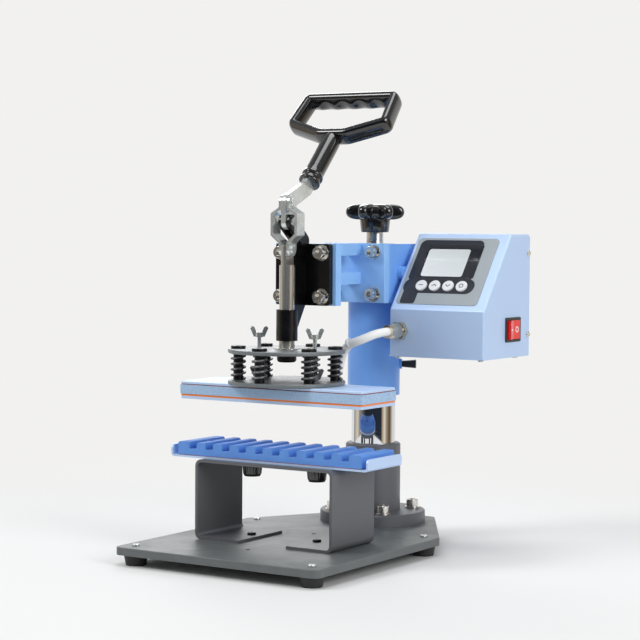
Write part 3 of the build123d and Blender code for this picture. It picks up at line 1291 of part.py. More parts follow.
with BuildPart() as platen_cap:
    with BuildSketch(Plane.XY.offset(CAP_BOTTOM)):
        RectangleRounded(PLATEN_LENGTH, PLATEN_WIDTH, PLATEN_CORNER)
    extrude(amount=CAP_THICKNESS)
    fillet(platen_cap.edges().group_by(Axis.Z)[-1], CAP_EDGE)

# Wing bolts through the discs
upper_wing_level = UPPER_DISC_BOTTOM + WING_BOLT_END_GAP
lower_wing_level = LOWER_DISC_BOTTOM + WING_BOLT_END_GAP

with BuildPart() as upper_left_wing_bolt:
    with Locations(Location((*WING_BOLT_PLACES[0], upper_wing_level), (0, 0, WING_TURN))):
        add(wing_bolt(WING_SHAFT_LENGTH))

with BuildPart() as upper_right_wing_bolt:
    with Locations(Location((*WING_BOLT_PLACES[1], upper_wing_level), (0, 0, WING_TURN))):
        add(wing_bolt(WING_SHAFT_LENGTH))

with BuildPart() as lower_left_wing_bolt:
    with Locations(Location((*WING_BOLT_PLACES[0], lower_wing_level), (0, 0, WING_TURN))):
        add(wing_bolt(LOWER_WING_SHAFT_LENGTH))

with BuildPart() as lower_right_wing_bolt:
    with Locations(Location((*WING_BOLT_PLACES[1], lower_wing_level), (0, 0, WING_TURN))):
        add(wing_bolt(LOWER_WING_SHAFT_LENGTH))

# Control box: folded sheet shell with a sloped panel, open at the back and underneath
panel_top_y = BOX_FRONT + BOX_PANEL_RUN
back_screw_places = [
    (x, z)
    for x in (BOX_LEFT + BOX_SCREW_INSET, BOX_RIGHT - BOX_SCREW_INSET)
    for z in (BOX_BOTTOM + COVER_SCREW_RISE, BOX_TOP - COVER_SCREW_DROP)
]
bottom_screw_places = [
    (x, y)
    for x in (BOX_LEFT + BOX_SCREW_INSET, BOX_RIGHT - BOX_SCREW_INSET)
    for y in (BOX_FRONT + BOX_SCREW_INSET, BOX_BACK - COVER_SCREW_BACK_INSET)
]
tab_width = 2 * (BOX_SCREW_INSET - BOX_SHEET / 2)

with BuildPart() as control_box:
    with BuildSketch(Plane.YZ.offset(BOX_LEFT)):
        with BuildLine():
            Polyline(
                (BOX_FRONT, BOX_BOTTOM),
                (BOX_FRONT, BOX_BOTTOM + BOX_FRONT_HEIGHT),
                (panel_top_y, BOX_TOP),
                (BOX_BACK, BOX_TOP),
                (BOX_BACK, BOX_BOTTOM),
                close=True,
            )
        make_face()
    extrude(amount=BOX_WIDTH)
    folded_edges = control_box.edges().filter_by(
        lambda edge: edge.center().Y < BOX_BACK - 1 and edge.center().Z > BOX_BOTTOM + 1
    )
    fillet(folded_edges, BOX_EDGE)
    open_faces = [control_box.faces().sort_by(Axis.Y)[-1], control_box.faces().sort_by(Axis.Z)[0]]
    offset(amount=-BOX_SHEET, openings=open_faces)
    with BuildSketch(front_plane(BOX_BACK)):
        with Locations(*back_screw_places):
            Rectangle(tab_width, COVER_TAB)
    extrude(amount=COVER_TAB_THICKNESS)
    with BuildSketch(Plane.XY.offset(BOX_BOTTOM)):
        with Locations(*bottom_screw_places):
            Rectangle(tab_width, COVER_TAB)
    extrude(amount=COVER_TAB_THICKNESS)
    with BuildSketch(front_plane(BOX_BACK)):
        with Locations(*back_screw_places):
            Circle(BOX_SCREW_DIAMETER / 2 + FIXED_FIT)
    extrude(amount=COVER_TAB_THICKNESS, mode=Mode.SUBTRACT)
    with BuildSketch(Plane.XY.offset(BOX_BOTTOM)):
        with Locations(*bottom_screw_places):
            Circle(BOX_SCREW_DIAMETER / 2 + FIXED_FIT)
    extrude(amount=COVER_TAB_THICKNESS, mode=Mode.SUBTRACT)
    with BuildSketch(front_plane(BOX_FRONT)):
        with Locations((GLAND_X, GLAND_HEIGHT)):
            Circle(GLAND_THREAD_DIAMETER / 2 + FIXED_FIT)
    extrude(amount=-BOX_SHEET, mode=Mode.SUBTRACT)
    with BuildSketch(Plane.YZ.offset(BOX_RIGHT)):
        with Locations((SWITCH_BACK, SWITCH_HEIGHT)):
            Rectangle(SWITCH_LENGTH + 2 * SWITCH_WALL, SWITCH_WIDTH + 2 * SWITCH_WALL)
    extrude(amount=-BOX_SHEET, mode=Mode.SUBTRACT)
    with BuildSketch(PANEL_PLANE):
        with Locations((WINDOW_LEFT + WINDOW_WIDTH / 2, WINDOW_START + WINDOW_LENGTH / 2)):
            Rectangle(WINDOW_WIDTH, WINDOW_LENGTH)
        with Locations(*BUTTON_PLACES):
            Circle(BUTTON_DIAMETER / 2 + MOVING_GAP)
    extrude(amount=-BOX_SHEET, mode=Mode.SUBTRACT)

# One bent cover closes the back and the underside
with BuildPart() as box_cover:
    with BuildSketch(Plane.YZ.offset(BOX_LEFT)):
        with BuildLine():
            Polyline(
                (BOX_FRONT, BOX_BOTTOM),
                (BOX_FRONT, BOX_BOTTOM - COVER_SHEET),
                (BOX_BACK + COVER_SHEET, BOX_BOTTOM - COVER_SHEET),
                (BOX_BACK + COVER_SHEET, BOX_TOP - BOX_EDGE),
                (BOX_BACK, BOX_TOP - BOX_EDGE),
                (BOX_BACK, BOX_BOTTOM),
                close=True,
            )
        make_face()
    extrude(amount=BOX_WIDTH)
    outer_bend = box_cover.edges().filter_by(Axis.X).sort_by(
        lambda edge: edge.center().Y - edge.center().Z
    )[-1]
    fillet(outer_bend, COVER_SHEET * 0.9)
    with BuildSketch(front_plane(BOX_BACK + COVER_SHEET)):
        with Locations(*back_screw_places):
            Circle(BOX_SCREW_DIAMETER / 2 + FIXED_FIT)
        with Locations((MAINS_GLAND_X, GLAND_HEIGHT)):
            Circle(GLAND_THREAD_DIAMETER / 2 + FIXED_FIT)
    extrude(amount=COVER_SHEET, mode=Mode.SUBTRACT)
    with BuildSketch(Plane.XY.offset(BOX_BOTTOM - COVER_SHEET)):
        with Locations(*bottom_screw_places):
            Circle(BOX_SCREW_DIAMETER / 2 + FIXED_FIT)
    extrude(amount=COVER_SHEET, mode=Mode.SUBTRACT)

with BuildPart() as box_screws:
    back_seats = [Location((x, BOX_BACK + COVER_SHEET, z), (-90, 0, 0)) for x, z in back_screw_places]
    lower_seats = [Location((x, y, BOX_BOTTOM - COVER_SHEET), (180, 0, 0)) for x, y in bottom_screw_places]
    with Locations(*back_seats, *lower_seats):
        add(pan_screw(
            BOX_SCREW_DIAMETER,
            BOX_SCREW_HEAD_DIAMETER,
            BOX_SCREW_HEAD_HEIGHT,
            BOX_SCREW_LENGTH,
        ))

# Panel: overlay, display window and four push buttons over a circuit board
with BuildPart() as panel_overlay:
    with BuildSketch(PANEL_PLANE):
        with Locations((OVERLAY_LEFT + OVERLAY_WIDTH / 2, OVERLAY_START + OVERLAY_LENGTH / 2)):
            RectangleRounded(OVERLAY_WIDTH, OVERLAY_LENGTH, OVERLAY_CORNER)
        with Locations((WINDOW_LEFT + WINDOW_WIDTH / 2, WINDOW_START + WINDOW_LENGTH / 2)):
            Rectangle(WINDOW_WIDTH, WINDOW_LENGTH, mode=Mode.SUBTRACT)
        with Locations(*BUTTON_PLACES):
            Circle(BUTTON_DIAMETER / 2 + MOVING_GAP, mode=Mode.SUBTRACT)
    extrude(amount=OVERLAY_THICKNESS)

with BuildPart() as display_window:
    with BuildSketch(PANEL_PLANE.offset(OVERLAY_THICKNESS - WINDOW_THICKNESS)):
        with Locations((WINDOW_LEFT + WINDOW_WIDTH / 2, WINDOW_START + WINDOW_LENGTH / 2)):
            Rectangle(WINDOW_WIDTH, WINDOW_LENGTH)
    extrude(amount=WINDOW_THICKNESS - WINDOW_SINK)


def push_button(place):
    """Round push button at its place on the panel: cap, and flange behind the sheet."""
    with BuildPart() as button:
        with BuildSketch(PANEL_PLANE.offset(-BOX_SHEET - MOVING_GAP)):
            with Locations(place):
                Circle(BUTTON_DIAMETER / 2)
        extrude(amount=BOX_SHEET + MOVING_GAP + OVERLAY_THICKNESS + BUTTON_RISE)
        outward = Axis(PANEL_PLANE.origin, PANEL_PLANE.z_dir)
        fillet(button.faces().sort_by(outward)[-1].edges(), BUTTON_EDGE)
        with BuildSketch(PANEL_PLANE.offset(-BOX_SHEET - MOVING_GAP)):
            with Locations(place):
                Circle(BUTTON_DIAMETER / 2 + BUTTON_FLANGE)
        extrude(amount=-BUTTON_FLANGE_THICKNESS)
        with BuildSketch(PANEL_PLANE.offset(-BOX_SHEET - MOVING_GAP)):
            with Locations(place):
                Circle(BUTTON_STEM_DIAMETER / 2)
        extrude(amount=-BOARD_BEHIND_PANEL + BOX_SHEET + 2 * MOVING_GAP + BUTTON_TRAVEL)
    return button


buttons = [push_button(place) for place in BUTTON_PLACES]

with BuildPart() as control_board:
    with BuildSketch(PANEL_PLANE.offset(-BOARD_BEHIND_PANEL)):
        with Locations((BOX_WIDTH / 2, BOX_PANEL_LENGTH / 2)):
            Rectangle(BOX_WIDTH - 2 * BOX_SHEET - BOARD_SIDE_GAP, BOX_PANEL_LENGTH * BOARD_LENGTH_SHARE)
    extrude(amount=-BOARD_THICKNESS)
    with BuildSketch(PANEL_PLANE.offset(-BOARD_BEHIND_PANEL)):
        with Locations((WINDOW_LEFT + WINDOW_WIDTH / 2, WINDOW_START + WINDOW_LENGTH / 2)):
            Rectangle(WINDOW_WIDTH - DISPLAY_BACKING_INSET, WINDOW_LENGTH - DISPLAY_BACKING_INSET)
    extrude(amount=BOARD_BEHIND_PANEL + OVERLAY_THICKNESS - WINDOW_THICKNESS)
    with BuildSketch(PANEL_PLANE.offset(-BOARD_BEHIND_PANEL - BOARD_THICKNESS)):
        with Locations(TRANSFORMER_PLACE):
            Rectangle(*TRANSFORMER_SIZE)
        with Locations(RELAY_PLACE):
            Rectangle(*RELAY_SIZE)
    extrude(amount=-BOARD_PART_HEIGHT)

# Rocker switch: bezel and housing in the side of the box
with BuildPart() as switch_housing:
    with BuildSketch(Plane.YZ.offset(BOX_RIGHT)):
        with Locations((SWITCH_BACK, SWITCH_HEIGHT)):
            RectangleRounded(BEZEL_LENGTH, BEZEL_HEIGHT, BEZEL_CORNER)
    extrude(amount=BEZEL_THICKNESS)
    chamfer(switch_housing.faces().sort_by(Axis.X)[-1].edges(), BEZEL_EDGE)
    with BuildSketch(Plane.YZ.offset(BOX_RIGHT)):
        with Locations((SWITCH_BACK, SWITCH_HEIGHT)):
            Rectangle(
                SWITCH_LENGTH + 2 * (SWITCH_WALL - SWITCH_CUTOUT_PLAY),
                SWITCH_WIDTH + 2 * (SWITCH_WALL - SWITCH_CUTOUT_PLAY),
            )
    extrude(amount=-SWITCH_DEPTH)
    with BuildSketch(Plane.YZ.offset(BOX_RIGHT + BEZEL_THICKNESS)):
        with Locations((SWITCH_BACK, SWITCH_HEIGHT)):
            Rectangle(SWITCH_LENGTH, SWITCH_WIDTH)
    extrude(amount=SWITCH_FLOOR - SWITCH_DEPTH - BEZEL_THICKNESS, mode=Mode.SUBTRACT)

# Red rocker: a shallow V that stands tilted to one side of its pivot
rocker_pivot = (BOX_RIGHT - ROCKER_PIVOT_DEPTH, SWITCH_BACK)
rocker_plane = Plane(
    origin=(*rocker_pivot, SWITCH_HEIGHT - ROCKER_WIDTH / 2),
    x_dir=(math.cos(math.radians(ROCKER_TILT)), math.sin(math.radians(ROCKER_TILT)), 0),
    z_dir=(0, 0, 1),
)

with BuildPart() as rocker:
    with BuildSketch(rocker_plane):
        with BuildLine():
            Polyline(
                (-ROCKER_KEEL_DEPTH, -ROCKER_KEEL_HALF_LENGTH),
                (-ROCKER_SKIRT, -ROCKER_LENGTH / 2),
                (ROCKER_END_RISE, -ROCKER_LENGTH / 2),
                (ROCKER_MIDDLE_RISE, 0),
                (ROCKER_END_RISE, ROCKER_LENGTH / 2),
                (-ROCKER_SKIRT, ROCKER_LENGTH / 2),
                (-ROCKER_KEEL_DEPTH, ROCKER_KEEL_HALF_LENGTH),
                close=True,
            )
        make_face()
    extrude(amount=ROCKER_WIDTH)

# Glands: one carries the heater cable, the other is the mains inlet in the back cover
gland_reach = BOX_SHEET + GLAND_NUT_THICKNESS + GLAND_THREAD_SPARE

with BuildPart() as heater_gland:
    with Locations(Location((GLAND_X, BOX_FRONT, GLAND_HEIGHT), (90, 0, 0))):
        add(cable_gland(gland_reach))

with BuildPart() as mains_gland:
    with Locations(Location((MAINS_GLAND_X, BOX_BACK + COVER_SHEET, GLAND_HEIGHT), (-90, 0, 0))):
        add(cable_gland(gland_reach))

with BuildPart() as gland_nuts:
    with BuildSketch(front_plane(BOX_FRONT + BOX_SHEET)):
        with Locations((GLAND_X, GLAND_HEIGHT)):
            RegularPolygon(GLAND_ACROSS_FLATS / 2, 6, major_radius=False)
            Circle(GLAND_THREAD_DIAMETER / 2 + FIXED_FIT, mode=Mode.SUBTRACT)
    extrude(amount=-GLAND_NUT_THICKNESS)
    with BuildSketch(front_plane(BOX_BACK)):
        with Locations((MAINS_GLAND_X, GLAND_HEIGHT)):
            RegularPolygon(GLAND_ACROSS_FLATS / 2, 6, major_radius=False)
            Circle(GLAND_THREAD_DIAMETER / 2 + FIXED_FIT, mode=Mode.SUBTRACT)
    extrude(amount=GLAND_NUT_THICKNESS)

# Heater cable: from the gland's mouth round behind the discs to the back of the heater block
gland_mouth = BOX_FRONT - GLAND_HEX_LENGTH - GLAND_DOME_LENGTH
cable_end_y = PLATEN_WIDTH / 2 + BLOCK_OVERHANG
cable_end_z = BLOCK_BOTTOM + BLOCK_THICKNESS / 2
cable_points = [
    Vector(GLAND_X, gland_mouth, GLAND_HEIGHT),
    Vector(GLAND_X, 85, GLAND_HEIGHT),
    Vector(46, 71, 223.5),
    Vector(28, 72, 217.5),
    Vector(19, 75, 204),
    Vector(14, 76, 184),
    Vector(14, 57, cable_end_z),
    Vector(14, cable_end_y, cable_end_z),
]
cable_radii = []
for before, corner, after in zip(cable_points, cable_points[1:], cable_points[2:]):
    half_turn_angle = math.radians((corner - before).get_angle(after - corner)) / 2
    shorter_run = min((corner - before).length, (after - corner).length)
    cable_radii.append(0.45 * shorter_run / math.tan(half_turn_angle))
print("cable: radii", [round(radius, 1) for radius in cable_radii])

with BuildPart() as heater_cable:
    with BuildLine() as cable_path:
        FilletPolyline(*cable_points, radius=cable_radii)
    with BuildSketch(Plane(origin=cable_points[0], z_dir=(cable_points[1] - cable_points[0]))):
        Circle(CABLE_DIAMETER / 2)
    sweep(path=cable_path.wires()[0])
cable_length = cable_path.wires()[0].length
cable_section = math.pi * CABLE_DIAMETER**2 / 4
print(
    f"cable: length {cable_length:.1f} mm, volume over section times length "
    f"{heater_cable.part.volume / (cable_section * cable_length):.4f}"
)

PIECES = {
    "base_plate": base_plate,
    "rubber_feet": rubber_feet,
    "foot_screws": foot_screws,
    "post_flange": post_flange,
    "flange_washers": flange_washers,
    "flange_bolts": flange_bolts,
    "post": post,
    "stand_bracket": stand_bracket,
    "bracket_screws": bracket_screws,
    "tray": tray,
    "mould_pad": mould_pad,
    "pen_mould": pen_mould,
    "left_tray_knob": left_tray_knob,
    "right_tray_knob": right_tray_knob,
    "lift_bush": lift_bush,
    "lift_collar": lift_collar,
    "height_spindle": height_spindle,
    "height_knob": height_knob,
    "arm_sleeve": arm_sleeve,
    "lock_knob": lock_knob,
    "arm_bracket": arm_bracket,
    "arm_washers": arm_washers,
    "arm_bolts": arm_bolts,
    "clamp_frame": clamp_frame,
    "pivot_pin": pivot_pin,
    "lever": lever,
    "handle": handle,
    "toggle_links": toggle_links,
    "link_rivets": link_rivets,
    "plunger_rod": plunger_rod,
    "rod_nut": rod_nut,
    "upper_disc": upper_disc,
    "lower_disc": lower_disc,
    "guide_bolts": guide_bolts,
    "springs": springs,
    "heat_plate": heat_plate,
    "platen_gasket": platen_gasket,
    "heater_block": heater_block,
    "platen_seam": platen_seam,
    "platen_cap": platen_cap,
    "upper_left_wing_bolt": upper_left_wing_bolt,
    "upper_right_wing_bolt": upper_right_wing_bolt,
    "lower_left_wing_bolt": lower_left_wing_bolt,
    "lower_right_wing_bolt": lower_right_wing_bolt,
    "control_box": control_box,
    "box_cover": box_cover,
    "box_screws": box_screws,
    "panel_overlay": panel_overlay,
    "display_window": display_window,
    "button_1": buttons[0],
    "button_2": buttons[1],
    "button_3": buttons[2],
    "button_4": buttons[3],
    "control_board": control_board,
    "switch_housing": switch_housing,
    "rocker": rocker,
    "heater_gland": heater_gland,
    "mains_gland": mains_gland,
    "gland_nuts": gland_nuts,
    "heater_cable": heater_cable,
}

os.makedirs("parts", exist_ok=True)
for name, piece in PIECES.items():
    piece.part.label = name
    export_step(piece.part, f"parts/{name}.step")
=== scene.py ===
"""Looks of a bench heat press for pens: finishes, small added pieces, light and camera."""
import logging
import math
from dataclasses import dataclass, field
from enum import Enum
from typing import Callable, ClassVar

import bpy
import numpy as np
from mathutils import Matrix, Vector


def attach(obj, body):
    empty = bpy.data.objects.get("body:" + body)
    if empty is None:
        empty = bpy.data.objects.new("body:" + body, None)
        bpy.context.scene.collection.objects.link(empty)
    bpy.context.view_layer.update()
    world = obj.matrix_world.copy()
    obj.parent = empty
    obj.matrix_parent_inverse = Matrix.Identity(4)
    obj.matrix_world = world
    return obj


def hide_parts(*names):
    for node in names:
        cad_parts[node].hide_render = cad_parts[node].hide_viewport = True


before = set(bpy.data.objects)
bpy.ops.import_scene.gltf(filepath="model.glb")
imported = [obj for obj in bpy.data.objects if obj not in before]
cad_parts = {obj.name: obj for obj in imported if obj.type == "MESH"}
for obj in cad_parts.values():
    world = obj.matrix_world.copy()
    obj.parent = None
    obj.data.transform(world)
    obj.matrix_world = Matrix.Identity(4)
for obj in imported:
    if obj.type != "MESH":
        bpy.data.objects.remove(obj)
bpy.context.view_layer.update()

LOG = logging.getLogger("heat_press")
MM = 0.001
FULL_TURN = 2 * math.pi
FLOAT = "NodeSocketFloat"
VECTOR = "NodeSocketVector"
Node = bpy.types.Node
Socket = bpy.types.NodeSocket
Colour = tuple[float, float, float]
Point = tuple[float, float, float]
Value = Socket | float | Colour


def paint(red: int, green: int, blue: int) -> Colour:
    """Linear colour of an sRGB swatch: the standard curve, channel by channel.

    Args:
        red: 0 to 255.
        green: 0 to 255.
        blue: 0 to 255.

    Returns:
        The three linear channels.
    """
    swatch = np.array([red, green, blue]) / 255
    linear = np.where(swatch <= 0.04045, swatch / 12.92, ((swatch + 0.055) / 1.055) ** 2.4)
    return tuple(float(channel) for channel in linear)


# ---------------------------------------------------------------- node wiring


class Wiring:
    """Adds nodes to one tree and links them."""

    def __init__(self, tree: bpy.types.NodeTree) -> None:
        """Keeps the tree that the nodes go into."""
        self.tree = tree

    def add(self, kind: str, **settings: object) -> Node:
        """Adds a node.

        Args:
            kind: Blender's node type.
            **settings: Attributes of the node to set.

        Returns:
            The new node.
        """
        node = self.tree.nodes.new(kind)
        for name, value in settings.items():
            setattr(node, name, value)
        return node

    def join(self, source: Socket, target: Socket) -> None:
        """Links one socket to another."""
        self.tree.links.new(source, target)

    def feed(self, value: Value, target: Socket) -> None:
        """Links a socket to an input, or sets a number or an opaque colour on it.

        Args:
            value: The socket, number or colour.
            target: The input.
        """
        if isinstance(value, Socket):
            self.join(value, target)
        else:
            target.default_value = (*value, 1.0) if isinstance(value, tuple) else value

    def math(self, operation: str, first: Value, second: Value = 0.0) -> Socket:
        """Adds a Math node.

        Args:
            operation: Blender's name of the operation.
            first: Its first number.
            second: Its second number, where it has one.

        Returns:
            The result.
        """
        node = self.add("ShaderNodeMath", operation=operation)
        self.feed(first, node.inputs[0])
        self.feed(second, node.inputs[1])
        return node.outputs[0]

    def spread(self, value: Socket, low: float, high: float, start: float = 0.0, end: float = 1.0) -> Socket:
        """Maps a value from start..end to low..high, clamped.

        Args:
            value: The value.
            low: What start becomes.
            high: What end becomes.
            start: One limit of the value.
            end: Its other limit.

        Returns:
            The mapped value.
        """
        node = self.add("ShaderNodeMapRange")
        inputs = {"Value": value, "From Min": start, "From Max": end, "To Min": low, "To Max": high}
        for name, given in inputs.items():
            self.feed(given, node.inputs[name])
        return node.outputs["Result"]

    def mix(self, factor: Socket, first: Value, second: Value) -> Socket:
        """Mixes two colours.

        Args:
            factor: 0 gives the first and 1 the second.
            first: One colour.
            second: The other.

        Returns:
            The mixed colour.
        """
        node = self.add("ShaderNodeMix", data_type="RGBA")
        for number, value in ((0, factor), (6, first), (7, second)):
            self.feed(value, node.inputs[number])
        return node.outputs[2]

    def blend(self, factor: Socket, first: Socket, second: Socket) -> Socket:
        """Mixes two shaders.

        Args:
            factor: 0 gives the first and 1 the second.
            first: One shader.
            second: The other.

        Returns:
            The mixed shader.
        """
        node = self.add("ShaderNodeMixShader")
        for number, source in enumerate((factor, first, second)):
            self.join(source, node.inputs[number])
        return node.outputs[0]

    def noise(self, place: Socket, scale: Value, detail: float, distortion: float = 0.0) -> Socket:
        """Adds a noise texture.

        Args:
            place: Coordinates that it reads.
            scale: Its scale.
            detail: Its number of octaves.
            distortion: How far it is bent.

        Returns:
            The noise, 0 to 1.
        """
        node = self.add("ShaderNodeTexNoise")
        inputs = {"Vector": place, "Scale": scale, "Detail": detail, "Distortion": distortion}
        for name, given in inputs.items():
            self.feed(given, node.inputs[name])
        return node.outputs["Fac"]

    def dot(self, first: Socket, second: Socket | Vector) -> Socket:
        """Scalar product of two vectors.

        Args:
            first: One vector.
            second: The other, as a socket or as plain numbers.

        Returns:
            The product.
        """
        node = self.add("ShaderNodeVectorMath", operation="DOT_PRODUCT")
        self.join(first, node.inputs[0])
        self.feed(second, node.inputs[1])
        return node.outputs["Value"]

    def axes(self, vector: Socket) -> list[Socket]:
        """Takes a vector apart.

        Args:
            vector: The vector.

        Returns:
            Its X, Y and Z.
        """
        node = self.add("ShaderNodeSeparateXYZ")
        self.join(vector, node.inputs[0])
        return list(node.outputs)

    def place(self) -> Socket:
        """The object's own coordinates, in metres."""
        return self.add("ShaderNodeTexCoord").outputs["Object"]


class Effect(Enum):
    """Surface effects that several finishes share."""

    GRAIN = "coat_grain"
    # Softened edge normal, and the mask where the finishes paint a highlight on the edges.
    EDGE = "edge_soften_and_highlight"
    SMUDGE = "hand_smudge"
    TURNED = "turned_marks"
    FIELD = "rounded_field"


class EffectShop:
    """Builds each shared effect once, as a shader node group."""

    MOTTLE_LIMITS: ClassVar[tuple[float, float]] = (0.3, 0.7)
    EDGE_LIMITS: ClassVar[tuple[float, float]] = (0.86, 0.995)
    SMUDGE_LIMITS: ClassVar[tuple[float, float]] = (0.35, 0.68)
    STREAK_LIMITS: ClassVar[tuple[float, float]] = (0.35, 0.65)
    FIELD_LIMITS: ClassVar[tuple[float, float]] = (-0.025 * MM, 0.025 * MM)
    _built: ClassVar[dict[Effect, bpy.types.NodeTree]] = {}

    @classmethod
    def get(cls, effect: Effect) -> bpy.types.NodeTree:
        """The node group of an effect, built the first time it is asked for.

        Args:
            effect: The effect.

        Returns:
            Its group.
        """
        if effect not in cls._built:
            maker: Callable[[], bpy.types.NodeTree] = getattr(cls, f"_{effect.name.lower()}")
            cls._built[effect] = maker()
        return cls._built[effect]

    @staticmethod
    def _start(effect: Effect, takes: dict[str, float], gives: dict[str, str]) -> tuple[Wiring, Node, Node]:
        """Opens a group with its named sockets.

        Args:
            effect: The effect, which names the group.
            takes: Input name to default.
            gives: Output name to socket type.

        Returns:
            The wiring of the group, its input node and its output node.
        """
        tree = bpy.data.node_groups.new(effect.value, "ShaderNodeTree")
        for name, default in takes.items():
            tree.interface.new_socket(name=name, in_out="INPUT", socket_type=FLOAT).default_value = default
        for name, kind in gives.items():
            tree.interface.new_socket(name=name, in_out="OUTPUT", socket_type=kind)
        wiring = Wiring(tree)
        return wiring, wiring.add("NodeGroupInput"), wiring.add("NodeGroupOutput")

    @classmethod
    def _grain(cls) -> bpy.types.NodeTree:
        """Orange-peel height of a baked coat, and a slow mottle of its shade.

        Returns:
            The group.
        """
        wiring, given, result = cls._start(
            Effect.GRAIN, {"Scale": 900.0, "Mottle Scale": 35.0}, {"Height": FLOAT, "Mottle": FLOAT},
        )
        place = wiring.place()
        wiring.join(wiring.noise(place, given.outputs["Scale"], 2.5), result.inputs["Height"])
        slow = wiring.noise(place, given.outputs["Mottle Scale"], 4.0)
        wiring.join(wiring.spread(slow, 0.0, 1.0, *cls.MOTTLE_LIMITS), result.inputs["Mottle"])
        return wiring.tree

    @classmethod
    def _edge(cls) -> bpy.types.NodeTree:
        """Softened normal at the edges, and a mask that is 1 where the surface turns, where the finishes paint a
        highlight.

        The mask falls with the scalar product of the softened normal and the plain one.

        Returns:
            The group.
        """
        wiring, given, result = cls._start(
            Effect.EDGE, {"Radius": 0.5 * MM}, {"Normal": VECTOR, "Mask": FLOAT},
        )
        soft = wiring.add("ShaderNodeBevel", samples=4)
        wiring.join(given.outputs["Radius"], soft.inputs["Radius"])
        plain = wiring.add("ShaderNodeNewGeometry")
        turn = wiring.dot(soft.outputs["Normal"], plain.outputs["Normal"])
        wiring.join(soft.outputs["Normal"], result.inputs["Normal"])
        wiring.join(wiring.spread(turn, 1.0, 0.0, *cls.EDGE_LIMITS), result.inputs["Mask"])
        return wiring.tree

    @classmethod
    def _smudge(cls) -> bpy.types.NodeTree:
        """Soft patches where hands and cloths have passed, 0 to 1.

        Returns:
            The group.
        """
        wiring, given, result = cls._start(Effect.SMUDGE, {"Scale": 25.0}, {"Mask": FLOAT})
        cloud = wiring.noise(wiring.place(), given.outputs["Scale"], 5.0, 0.8)
        wiring.join(wiring.spread(cloud, 0.0, 1.0, *cls.SMUDGE_LIMITS), result.inputs["Mask"])
        return wiring.tree

    @classmethod
    def _turned(cls) -> bpy.types.NodeTree:
        """Fine marks along one direction: noise that is stretched by the three scales.

        Returns:
            The group.
        """
        wiring, given, result = cls._start(
            Effect.TURNED, {"Across X": 20.0, "Across Y": 20.0, "Across Z": 2500.0},
            {"Height": FLOAT, "Streak": FLOAT},
        )
        stretched = wiring.add("ShaderNodeCombineXYZ")
        for letter, share in zip("XYZ", wiring.axes(wiring.place())):
            scale = given.outputs[f"Across {letter}"]
            wiring.join(wiring.math("MULTIPLY", share, scale), stretched.inputs[letter])
        marks = wiring.noise(stretched.outputs[0], 1.0, 3.0)
        wiring.join(marks, result.inputs["Height"])
        wiring.join(wiring.spread(marks, 0.0, 1.0, *cls.STREAK_LIMITS), result.inputs["Streak"])
        return wiring.tree

    @classmethod
    def _field(cls) -> bpy.types.NodeTree:
        """Mask of a rounded rectangle.

        The distance is the length of what lies beyond the inner rectangle, less the corner
        radius, and the mask falls from 1 to 0 between the two limits of the distance.

        Returns:
            The group.
        """
        names = ("Along", "Up", "Centre Along", "Centre Up", "Half Along", "Half Up", "Corner")
        wiring, given, result = cls._start(Effect.FIELD, dict.fromkeys(names, 0.0), {"Mask": FLOAT})
        squares = []
        for way in ("Along", "Up"):
            offset = wiring.math("SUBTRACT", given.outputs[way], given.outputs[f"Centre {way}"])
            reach = wiring.math("SUBTRACT", wiring.math("ABSOLUTE", offset), given.outputs[f"Half {way}"])
            beyond = wiring.math("MAXIMUM", wiring.math("ADD", reach, given.outputs["Corner"]), 0.0)
            squares.append(wiring.math("MULTIPLY", beyond, beyond))
        length = wiring.math("SQRT", wiring.math("ADD", *squares))
        distance = wiring.math("SUBTRACT", length, given.outputs["Corner"])
        wiring.join(wiring.spread(distance, 1.0, 0.0, *cls.FIELD_LIMITS), result.inputs["Mask"])
        return wiring.tree


def use(wiring: Wiring, effect: Effect, **values: Value) -> Node:
    """Places a shared effect in a material.

    Args:
        wiring: The material's wiring.
        effect: Which effect.
        **values: Its inputs by name, with _ for a space.

    Returns:
        The group node.
    """
    node = wiring.add("ShaderNodeGroup", node_tree=EffectShop.get(effect))
    for name, value in values.items():
        wiring.feed(value, node.inputs[name.replace("_", " ")])
    return node


# ---------------------------------------------------------------- control panel


@dataclass(frozen=True)
class PanelField:
    """Rounded rectangle on the control panel: its middle, half sides and corner, in millimetres."""

    along: float
    up: float
    half_along: float
    half_up: float
    corner: float

    def mask(self, wiring: Wiring, place: tuple[Socket, Socket]) -> Socket:
        """Mask of the rectangle.

        Args:
            wiring: The material's wiring.
            place: Distances along and up the panel, in metres.

        Returns:
            1 inside and 0 outside.
        """
        inside = use(wiring, Effect.FIELD, Along=place[0], Up=place[1], Centre_Along=self.along * MM,
                     Centre_Up=self.up * MM, Half_Along=self.half_along * MM, Half_Up=self.half_up * MM,
                     Corner=self.corner * MM)
        return inside.outputs["Mask"]


